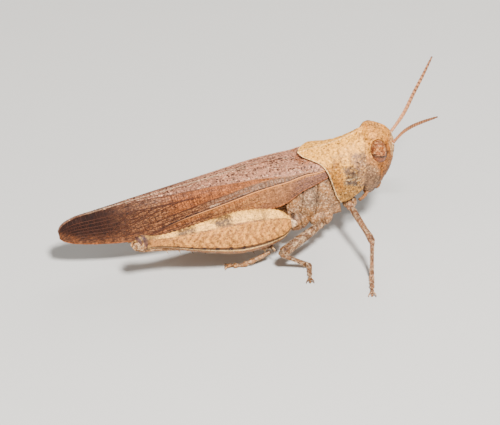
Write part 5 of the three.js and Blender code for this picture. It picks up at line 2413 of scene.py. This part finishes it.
@dataclass
class Limb:
    """A leg's maker: what walking legs and hind legs have in common."""

    stance: Stance
    pair: Pair
    side: Side
    kit: LegKit

    def name(self, part: str) -> str:
        """A piece's name."""
        return f"{self.pair.value}_{self.side.word}_{part}"

    def node(self, part: str) -> str:
        """A solid's name."""
        return f"{part}_{self.pair.value}_{self.side.word}"

    def ringed(
        self, line: Array, high: Array, wide: Array, up: Sequence[float], sides: int, square: float = 1.0
    ) -> Skin:
        """Makes a tapering skin along a line.

        Args:
            line: Points of the middle line.
            high: Half heights along up at each point.
            wide: Half widths across it at each point.
            up: The direction that heights are measured along.
            sides: How many points go round.
            square: Under 1 makes the section boxier.

        Returns:
            The skin, with marks for its share, height and outer side, its unrolled surface, and the lean
            and spread of its bristles.
        """
        points = swept(line, high, wide, up, sides, square)
        angle = circle(sides)[None]
        share = np.linspace(0, 1, len(line))[:, None]
        flat = 0 * (share + angle)
        along = unit(line[-1] - line[0])
        outer = self.side.value * np.cos(angle) * np.sign(along[0] + TINY)
        turn = angle / math.tau
        unrolled = [MAP_EDGE + MAP_SPAN * turn + flat, MAP_EDGE + MAP_SPAN * share + flat, flat]
        marks = {
            "lie": np.stack([share + flat, np.sin(angle) + flat, outer + flat], axis=-1),
            "unrolled": np.stack(unrolled, axis=-1),
            "lean": np.broadcast_to(along * 0.9, points.shape).copy(),
            "fuzz": flat + 1,
            "grain": flat + 0.5,
        }
        return Skin(points, marks)

    def add(self, part: str, skins: list[Skin], slot: str, *nodes: str) -> None:
        """Adds one part of the leg in the shared skin finish."""
        show(self.name(part), skins, self.stance.floor, self.kit.skin, slot, *nodes)

    def add_bristles(self, part: str, skins: list[Skin], density: float, length: float, seed: int) -> None:
        """Grows bristles on a part.

        Args:
            part: The part's name.
            skins: Its skins.
            density: How many stand on a square millimetre.
            length: How long they are, in millimetres.
            seed: The seed of their places.
        """
        hairs = {"recipe": self.kit.coat, "Density": density / MM**2, "Length": length * MM, "Seed": seed}
        name = self.name(f"{part}_bristles")
        show(name, skins, self.stance.floor, self.kit.bristle, "leg_shell", **hairs)

    def add_spines(self, roots: list[Array], aims: list[Array], reach: float, girth: float) -> None:
        """Sets thorns along a shin.

        Args:
            roots: Where they stand.
            aims: Where they point.
            reach: How long they are, in millimetres.
            girth: How thick they are.
        """
        size = np.linspace(0.8, 1.1, len(roots))
        marks = {"aim": unit(np.array(aims)), "reach": size * reach * MM, "girth": size * girth * MM}
        piece = new_piece(self.name("shin_spines"), self.stance.floor(roots), marks)
        settle(grow(piece, self.kit.thorns, self.kit.spine), "leg_shell")

    def hip(self, centre: Sequence[float], radii: Sequence[float]) -> None:
        """Adds the hip joint with its raised seams.

        Args:
            centre: Its middle in the body frame, on the left side.
            radii: Its half sizes.
        """
        s = self.side.value
        points = ovoid(np.array(centre) * (1, s, 1), radii, 60, 72)
        x, z = points[..., 0], points[..., 2]
        seam = bell(x - centre[0] - 0.25 * radii[0], 0.12)
        seam = np.maximum(seam, 0.7 * bell(z - centre[2] - 0.5 * (x - centre[0]), 0.1))
        points = raised(points, -0.1 * seam + 0.02 * np.sin(x * 11) * np.sin(z * 9))
        skins, node = [Skin(points, {"groove": seam, "grain": 1 - seam})], self.node("coxa")
        show(self.name("hip"), skins, self.stance.body, self.kit.hip, "leg_shell", node)

    def foot(self, ankle: Array, toe: Array, heel: Array | None = None) -> list[Skin]:
        """The padded joints of a foot with its claws and the soft pad between them.

        Args:
            ankle: Where the foot's first joint comes down, in the floor frame.
            toe: How far it reaches.
            heel: Where the first joint leaves a shin that ends higher up, if it does.

        Returns:
            The skins.
        """
        along = unit(toe - ankle)
        across = np.array([-along[1], along[0], 0])
        reach = np.linalg.norm(toe - ankle)

        def spot(share: float, height: float, out: float = 0.0) -> Array:
            """A place along the foot, at a height and a distance to its side."""
            return ankle + along * (reach * share) + across * out + (0, 0, height - ankle[2])

        def joint(controls: list[Array], girth: Profile, wide: float, count: int) -> Skin:
            """Makes one joint of the foot.

            Args:
                controls: Places that it runs through.
                girth: Its half height over its length.
                wide: Its width as a share of its height.
                count: How many rings it gets.

            Returns:
                The joint, which doesn't reach into the floor.
            """
            line = course(controls, count)
            share = np.linspace(0, 1, count)
            skin = self.ringed(line, girth(share), girth(share) * wide, (0, 0, 1), 26)
            skin.points[..., 2] = np.maximum(skin.points[..., 2], 0.015)
            skin.marks["fuzz"] = ease(skin.points[..., 2], 0.4, 0.6)
            return skin

        start = [spot(-0.02, 0.5)] if heel is None else [heel, mix(heel, ankle, 0.55) + (0, 0, 0.12)]
        pads = smooth(
            (0, 0.26), (0.1, 0.34), (0.24, 0.42), (0.34, 0.3), (0.48, 0.42), (0.58, 0.3), (0.8, 0.4),
            (0.95, 0.3), (1, 0.2),
        )
        if heel is not None:
            pads = smooth(
                (0, 0.24), (0.2, 0.3), (0.5, 0.36), (0.6, 0.42), (0.68, 0.3), (0.78, 0.42), (0.86, 0.32),
                (1, 0.2),
            )
        skins = [joint([*start, spot(0.22, 0.36), spot(0.42, 0.38)], pads, 0.95, 70)]
        second = smooth((0, 0.18), (0.3, 0.32), (0.7, 0.38), (0.9, 0.3), (1, 0.15))
        skins.append(joint([spot(0.38, 0.42), spot(0.5, 0.38), spot(0.62, 0.4)], second, 0.95, 30))
        third = smooth((0, 0.14), (0.2, 0.22), (0.5, 0.24), (0.85, 0.3), (1, 0.18))
        last = [spot(0.58, 0.42), spot(0.7, 0.52), spot(0.8, 0.5), spot(0.87, 0.42)]
        skins.append(joint(last, third, 0.85, 40))
        pad = ovoid((0, 0, 0), (0.3, 0.2, 0.14), 16, 22)
        pad = turned(pad, along, across, np.array([0, 0, 1]))
        skins.append(self.dressed(pad + spot(0.93, 0.22)))
        claw = smooth((0, 0.17), (0.3, 0.14), (0.7, 0.09), (1, 0.02))
        for way in (-1, 1):
            hook = [spot(0.84, 0.42, 0.1 * way), spot(0.92, 0.5, 0.34 * way), spot(0.97, 0.36, 0.5 * way)]
            skins.append(joint([*hook, spot(1.0, 0.09, 0.55 * way)], claw, 0.8, 26))
        return skins

    @staticmethod
    def dressed(points: Array) -> Skin:
        """Gives a small body plain marks.

        Args:
            points: Its rings.

        Returns:
            The skin.
        """
        shape = points.shape[:2]
        flat = np.zeros((*shape, 3))
        marks = {"lie": flat + 0.5, "unrolled": flat + 0.02, "lean": flat}
        return Skin(points, marks | {"fuzz": np.zeros(shape), "grain": np.full(shape, 0.3)})


@dataclass
class WalkingLeg(Limb):
    """A fore or middle leg."""

    root: tuple[float, float, float] = (0, 0, 0)
    knee: tuple[float, float, float] = (0, 0, 0)
    ankle: tuple[float, float] = (0, 0)
    toe: tuple[float, float] = (0, 0)

    def build(self) -> None:
        """Builds the leg from the hip to the claws."""
        start = self.stance.tilt(np.array(self.root))
        knee = np.array(self.knee)
        ankle, toe = (np.array([*spot, 0.3]) for spot in (self.ankle, self.toe))
        thigh, shin = unit(knee - start), unit(ankle - knee)
        high = {
            Pair.FORE: smooth((0, 0.4), (0.15, 0.5), (0.75, 0.45), (0.92, 0.56), (1, 0.4)),
            Pair.MID: smooth((0, 0.5), (0.25, 0.66), (0.8, 0.78), (0.93, 0.8), (1, 0.5)),
        }[self.pair]
        share = np.linspace(0, 1, 110)
        line = course([start, mix(start, knee, 0.33), mix(start, knee, 0.66), knee], 110)
        end = ease(share, 1.0, 0.96) * 0.5 + 0.5
        femur = self.ringed(line, high(share) * end, high(share) * 0.8 * end, (0, 0, 1), 48, 0.9)
        self.ridge(femur, (0.22, 0.78, 1.22, 1.78), 0.045)
        turn = ovoid((0, 0, 0), (0.6, 0.55, 0.62), 20, 28) + start - thigh * 0.1
        lobes = [self.knee_lobe(knee, thigh, way) for way in (-1, 1)]
        self.add("thigh", [femur, self.dressed(turn), *lobes], "leg_shell", self.node("femur"))
        seed = 3 * self.side.value + (20 if self.pair is Pair.MID else 40)
        density = 5.5 if self.pair is Pair.MID else 3.0
        self.add_bristles("thigh", [femur], density, 0.36, seed)
        middle = [mix(knee, ankle, 0.12), mix(knee, ankle, 0.5)]
        line = course([knee + shin * 0.05, *middle, ankle - shin * 0.25], 90)
        share = np.linspace(0, 1, 90)
        girth = smooth(
            (0, 0.28), (0.05, 0.4), (0.12, 0.34), (0.5, 0.3), (0.88, 0.34), (0.96, 0.38), (1, 0.26)
        )(share)
        tibia = self.ringed(line, girth, girth * 0.95, (0, 0, 1), 32, 0.85)
        self.ridge(tibia, (0.25, 0.75, 1.25, 1.75), 0.03)
        self.add("shin", [tibia], "leg_shell", self.node("tibia"))
        tibia.marks["fuzz"] = ease(tibia.points[..., 2], 0.6, 1.0)
        self.add_bristles("shin", [tibia], 7.0, 0.4, seed + 1)
        across = unit(np.cross(shin, (0, 0, 1)))
        under = unit(np.cross(across, shin))
        under = under * -np.sign(under[2] + TINY)
        roots, aims = [], []
        for t in np.linspace(0.3, 0.96, 7):
            for way in (-1, 1):
                roots.append(mix(knee, ankle - shin * 0.25, t) + across * (0.2 * way) + under * 0.2)
                aims.append(across * (0.55 * way) + under * 0.75 + shin * 0.55)
        self.add_spines(roots, aims, 0.42, 0.06)
        foot = self.foot(ankle, toe)
        self.add("foot", foot, "foot_shell", self.node("tarsus"))
        self.add_bristles("foot", foot[:3], 9.0, 0.26, seed + 2)

    @staticmethod
    def ridge(skin: Skin, halves: Sequence[float], height: float) -> None:
        """Raises ridges along a skin.

        Args:
            skin: The skin.
            halves: The angles of the ridges, in half turns over the outer side.
            height: How high they stand.
        """
        sides = skin.points.shape[1]
        angle = (2 * np.arange(sides) / sides)[None]
        lift = sum(bell(angle - at, 0.05) for at in halves)
        share = np.linspace(0, 1, len(skin.points))[:, None]
        skin.points = raised(skin.points, lift * height * ease(share, 0.03, 0.12) * ease(share, 0.97, 0.88))

    def knee_lobe(self, knee: Array, thigh: Array, way: int) -> Skin:
        """Makes a rounded cheek beside the knee.

        Args:
            knee: The knee's middle.
            thigh: The direction from the hip to the knee.
            way: Which side of the knee, 1 or -1.

        Returns:
            The cheek.
        """
        across = unit(np.cross((0, 0, 1), thigh))
        radii = 0.5 if self.pair is Pair.MID else 0.38
        points = ovoid((0, 0, 0), (radii, 0.16, radii * 0.9), 18, 26)
        over = np.cross(thigh, across)
        cheek = turned(points, thigh, across, over) + knee - thigh * 0.3
        return self.dressed(cheek + across * (0.34 * way) - over * 0.1)


@dataclass
class HindLeg(Limb):
    """A hind leg: the thick thigh, and the spiny shin folded under it."""

    thigh_finish: Material | None = None
    chevrons: NodeTree | None = None
    root: tuple[float, float, float] = (0, 0, 0)
    knee: tuple[float, float, float] = (0, 0, 0)
    shin_top: tuple[float, float, float] = (0, 0, 0)
    ankle: tuple[float, float, float] = (0, 0, 0)
    sole: tuple[float, float] = (0, 0)
    toe: tuple[float, float] = (0, 0)
    sag: float = -0.5
    tip_in: float = math.radians(15)
    seeds: tuple[int, int, int] = (61, 65, 71)

    def build(self) -> None:
        """Builds the leg from the thigh to the claws."""
        start, knee, top, end = (
            self.stance.tilt(np.array(spot)) for spot in (self.root, self.knee, self.shin_top, self.ankle)
        )
        lean = self.side.value * self.tip_in
        up = np.array([0, -math.sin(lean), math.cos(lean)])
        self.add_thigh(start, knee, up)
        shin = unit(end - top)
        self.add_shin(top, end, shin, up)
        heel = end + (-0.35, 0, -0.95)
        sole, toe = (np.array([*spot, 0.3]) for spot in (self.sole, self.toe))
        foot = self.foot(sole, toe, heel)
        self.add("foot", foot, "foot_shell", self.node("tarsus"))
        self.add_bristles("foot", foot[:3], 9.0, 0.28, self.seeds[2] + self.side.value)

    def add_thigh(self, start: Array, knee: Array, up: Array) -> None:
        """Adds the thigh with its keels, its arrow-head ribs and the cheeks of the knee.

        Args:
            start: Its root.
            knee: Its end.
            up: The direction across it, away from the floor.
        """
        rows, sides = 300, 112
        share = np.linspace(0, 1, rows)
        line = mix(start, knee, share[:, None]) + up * (4 * share * (1 - share) * self.sag)[:, None]
        high = smooth(
            (0, 1.0), (0.05, 2.0), (0.1, 2.45), (0.18, 2.85), (0.26, 3.05), (0.34, 3.05), (0.48, 2.55),
            (0.62, 1.9), (0.74, 1.25), (0.84, 0.88), (0.91, 1.05), (0.96, 1.15), (1, 0.75),
        )(share)
        wide = high * mix(0.48, 0.62, share)
        close = np.sqrt(np.clip(1 - ((share - 0.965) / 0.037) ** 2, 0.02, 1))
        close = np.where(share < 0.965, 1, close)
        skin = self.ringed(line, high * close, wide * close, up, sides)
        level = skin.marks["lie"][..., 1]
        span = ease(share, 0.02, 0.1)[:, None] * ease(share, 0.9, 0.84)[:, None]
        keels = bell(level - 0.55, 0.05) + bell(level + 0.64, 0.05) + 0.8 * bell(1 - np.abs(level), 0.02)
        hollow = bell(level - 0.74, 0.12) + bell(level + 0.05, 0.4) * 0.6
        neck = bell(share - 0.885, 0.012)[:, None]
        neck = neck + 0.8 * bell(share[:, None] - 0.945 - 0.02 * level**2, 0.008)
        height = span * (0.1 * keels - 0.06 * hollow) - 0.05 * neck
        teeth = 0.05 * np.sin(share * 210)[:, None] * bell(1 - level, 0.03) * span
        skin.points = raised(skin.points, height + teeth)
        name, slot, node = self.name("thigh"), "hind_femur_shell", self.node("femur")
        show(name, [skin], self.stance.floor, self.thigh_finish, slot, node, recipe=self.chevrons)
        cheeks = []
        along = unit(knee - start)
        across = unit(np.cross(up, along))
        for way in (-1, 1):
            points = ovoid((0, 0, 0), (1.05, 0.2, 0.72), 28, 40)
            cheek = turned(points, along, across, up) + knee - along * 0.75
            cheeks.append(self.dressed(cheek + across * (0.52 * way) - up * 0.42))
        self.add("knee_cheeks", cheeks, slot)
        skin.marks["fuzz"] = ease(level, -0.5, -0.8) * ease(share, 0.05, 0.15)[:, None]
        self.add_bristles("thigh", [skin], 2.6, 0.4, self.seeds[0] + self.side.value)

    def add_shin(self, top: Array, end: Array, shin: Array, up: Array) -> None:
        """Adds the shin, its two rows of thorns and the four spurs at its end.

        Args:
            top: Its upper end, under the knee.
            end: Its lower end.
            shin: The direction from one to the other.
            up: The direction across it, away from the floor.
        """
        share = np.linspace(0, 1, 200)
        line = mix(top, end, share[:, None])
        girth = smooth(
            (0, 0.4), (0.03, 0.52), (0.07, 0.48), (0.12, 0.4), (0.4, 0.36), (0.85, 0.38), (0.95, 0.46),
            (1, 0.34),
        )(share)
        tibia = self.ringed(line, girth, girth * 0.95, up, 40, 0.85)
        bulb = ovoid((0, 0, 0), (0.62, 0.5, 0.6), 24, 30)
        head = self.dressed(bulb + top - shin * 0.1 + up * 0.2)
        self.add("shin", [tibia, head], "leg_shell", self.node("tibia"))
        self.add_bristles("shin", [tibia], 4.0, 0.6, self.seeds[1] + self.side.value)
        roots, aims = [], []
        for t in np.linspace(0.2, 0.93, 9):
            for way in (-1, 1):
                roots.append(mix(top, end, t) + (0.05, 0.2 * way, -0.22))
                aims.append(np.array([0.42, 0.5 * way, -0.8]))
        for way in (-1, 1):
            roots += [end + (0.1, 0.25 * way, -0.2), end + (0.0, 0.3 * way, -0.05)]
            aims += [np.array([0.5, 0.45 * way, -0.9]), np.array([0.9, 0.75 * way, -0.55])]
        self.add_spines(roots, aims, 0.85, 0.12)


# ---------------------------------------------------------------- Studio


@dataclass
class Studio:
    """Floor, lights and camera."""

    stance: Stance
    azimuth: float = math.radians(-13.2)
    elevation: float = math.radians(32.7)
    distance: float = 321.6
    offset: tuple[float, float] = (6.76, 8.61)
    lens: float = 100
    sensor: float = 22.3
    paper: float = 600
    lights: tuple[tuple[str, tuple[float, float, float], float, float], ...] = (
        ("key", (20, -240, 330), 50, 4.6),
        ("fill", (-320, -160, 200), 300, 0.55),
        ("rim", (160, 300, 260), 220, 0.8),
    )
    lit: tuple[float, float, float] = (0, 0, 8)
    air: tuple[float, float, float, float] = (1.0, 0.96, 0.92, 1.0)
    air_power: float = 0.2

    def build(self, finish: FloorFinish) -> None:
        """Sets up the floor, the lights and the camera.

        Args:
            finish: The floor's finish.
        """
        self.add_floor(finish)
        for light in self.lights:
            self.add_light(*light)
        self.add_world()
        self.add_camera()

    def add_floor(self, finish: FloorFinish) -> None:
        """Lays a wide sheet of paper under the feet.

        Args:
            finish: Its finish.
        """
        corners = np.array([(-1, -1, 0), (1, -1, 0), (1, 1, 0), (-1, 1, 0)]) * self.paper * MM
        sheet = new_piece("studio_floor", corners, {}, faces=[(0, 1, 2, 3)])
        sheet.data.materials.append(finish.make(self.stance))

    def add_light(self, name: str, place: Sequence[float], size: float, power: float) -> None:
        """Hangs a soft square light that points at the insect.

        Args:
            name: Its name.
            place: Where it hangs, in millimetres.
            size: Its width in millimetres.
            power: Its power in watts.
        """
        lamp = bpy.data.lights.new(name, "AREA")
        lamp.size = size * MM
        lamp.energy = power
        made = bpy.data.objects.new(name, lamp)
        self.aim(made, np.array(place, float) * MM, self.stance.floor(self.lit))
        bpy.context.scene.collection.objects.link(made)

    def add_world(self) -> None:
        """Lights everything a little from all round."""
        world = bpy.data.worlds.new("studio_air")
        world.use_nodes = True
        background = world.node_tree.nodes["Background"]
        background.inputs["Color"].default_value = self.air
        background.inputs["Strength"].default_value = self.air_power
        bpy.context.scene.world = world

    def add_camera(self) -> None:
        """Sets the camera to the right of the insect, above and a little behind its head."""
        turn, rise = self.azimuth, self.elevation
        right = np.array([math.cos(turn), math.sin(turn), 0])
        back = np.array([math.sin(turn) * math.cos(rise), -math.cos(turn) * math.cos(rise), math.sin(rise)])
        over = np.cross(back, right)
        middle = self.stance.floor((0, 0, BACK_HEIGHT))
        lens = bpy.data.cameras.new("camera")
        lens.lens, lens.sensor_width, lens.clip_start = self.lens, self.sensor, 10 * MM
        made = bpy.data.objects.new("camera", lens)
        target = middle - (right * self.offset[0] + over * self.offset[1]) * MM
        self.aim(made, middle + back * self.distance * MM, target, right)
        bpy.context.scene.collection.objects.link(made)
        bpy.context.scene.camera = made

    @staticmethod
    def aim(thing: Object, place: Array, target: Array, across: Array | None = None) -> None:
        """Puts a light or a camera at a place and turns it to a target.

        Args:
            thing: The light or camera.
            place: Where it goes.
            target: What it looks at.
            across: The direction to its right, which is level with the floor where it isn't given.
        """
        back = unit(place - target)
        right = np.cross((0, 0, 1), back) if across is None else across - back * (across @ back)
        right = unit(right)
        columns = np.column_stack([right, np.cross(back, right), back])
        rows = [[*map(float, row), float(at)] for row, at in zip(columns, place)]
        thing.matrix_world = Matrix([*rows, [0, 0, 0, 1]])


def add_feelers(stance: Stance) -> None:
    """Adds the two feelers, spread like a V.

    Args:
        stance: Where the insect stands.
    """
    recipe, finish = feeler_joints(), FeelerFinish().make(stance)
    left = (
        (13.3, 1.15, -2.3), (14.39, 1.3, -1.4), (16.8, 3, -0.2), (18.9, 4.3, 1.8), (20.75, 5.4, 3.5),
        (22.84, 6.6, 5.6),
    )
    right = (
        (13.3, -1.15, -2.3), (14.19, -1.9, -0.9), (15.2, -2.8, 0.6), (16.3, -4, 1.95), (17.7, -5.4, 3.2),
        (19.5, -7.2, 4.6),
    )
    Feeler(stance, Side.LEFT, left, (0.6, 0.2, -0.75)).build(finish, recipe)
    Feeler(stance, Side.RIGHT, right, (0.2, 0.9, 0.2), widest=0.34).build(finish, recipe)


def add_wings(stance: Stance) -> None:
    """Adds the four closed wings.

    Args:
        stance: Where the insect stands.
    """
    form, recipe = WingForm(), wing_ribs()
    sheet_finish, rib_finish, fan = (f().make(stance) for f in (ForewingFinish, RibFinish, FanFinish))
    for side in Side:
        Forewing(stance, form, side).build(sheet_finish, rib_finish, recipe)
        Hindwing(stance, form, side).build(fan)


def add_legs(stance: Stance, flank: Material) -> None:
    """Adds the six legs.

    Args:
        stance: Where the insect stands.
        flank: The finish of the hips.
    """
    spine, bristle = SpineFinish().make(stance), BristleFinish().make(stance)
    thorns, coat, chevrons = spine_row(), bristle_coat(), herringbone()
    skins = {
        Pair.FORE: LegFinish("Fore leg", tone(142, 94, 62), mottled=0.4),
        Pair.MID: LegFinish("Middle leg", tone(120, 80, 48), mottled=0.5),
        Pair.HIND: LegFinish("Hind shin", tone(156, 104, 58), mottled=0.45),
    }
    kits = {
        pair: LegKit(finish.make(stance), flank, spine, bristle, thorns, coat)
        for pair, finish in skins.items()
    }
    right, left = Side.RIGHT, Side.LEFT
    fore, mid, hind = Pair.FORE, Pair.MID, Pair.HIND
    walking = [
        (fore, right, (5.7, -3.75, -9.1), (8.4, -11, 6.2), (8.3, -11.5), (7.2, -16.1)),
        (fore, left, (5.7, 3.75, -9.1), (10.3, 10.2, 6.3), (11.1, 10.9), (12.0, 15.9)),
        (mid, right, (0.6, -4.7, -10.1), (-4.2, -7.7, 3.6), (0.2, -6.8), (-0.6, -10.9)),
        (mid, left, (0.6, 4.7, -10.1), (-3.6, 8.9, 4.4), (-0.7, 9.5), (-2.7, 13.4)),
    ]
    hips = {fore: ((5.8, 2.7, -8.9), (1.05, 0.9, 1.05)), mid: ((1.2, 3.3, -9.9), (1.75, 1.05, 1.35))}
    for pair, side, root, knee, ankle, toe in walking:
        leg = WalkingLeg(stance, pair, side, kits[pair], root, knee, ankle, toe)
        leg.hip(*hips[pair])
        leg.build()
    thigh = ThighFinish().make(stance)
    folded = {
        right: (
            (-3.5, -5.1, -8.0), (-26.1, -7.0, -2.9), (-25.6, -6.9, -4.1), (-6.8, -5.0, -11.3), (-8.4, -4.6),
            (-11.8, -4.4),
        ),
        left: (
            (-3.5, 5.1, -8.0), (-26.2, 5.9, -5.1), (-25.6, 5.8, -6.3), (-6.6, 5.2, -11.5), (-8.1, 5.3),
            (-11.4, 5.7),
        ),
    }
    for side, places in folded.items():
        leg = HindLeg(stance, hind, side, kits[hind], thigh, chevrons, *places)
        leg.hip((-2.3, 3.3, -9.3), (1.85, 1.2, 1.45))
        leg.build()


def main() -> None:
    """Builds the insect from the head back, then the studio round it."""
    logging.basicConfig(level=logging.INFO, format="%(message)s")
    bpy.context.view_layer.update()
    stance = Stance.read((11.4, 2.9, -1.5))
    grain = grained_shell()
    flank, belly = FlankFinish().make(stance), BellyFinish().make(stance)
    Head(stance).build(HeadFinish(), EyeFinish(), grain)
    add_feelers(stance)
    Mouth(stance).build(MouthFinish().make(stance))
    Saddle(stance).build(SaddleFinish(), grain)
    Trunk(stance).build(flank, belly, grain)
    add_wings(stance)
    add_legs(stance, flank)
    Studio(stance).build(FloorFinish())
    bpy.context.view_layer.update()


if __name__ == "__main__":
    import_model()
    main()
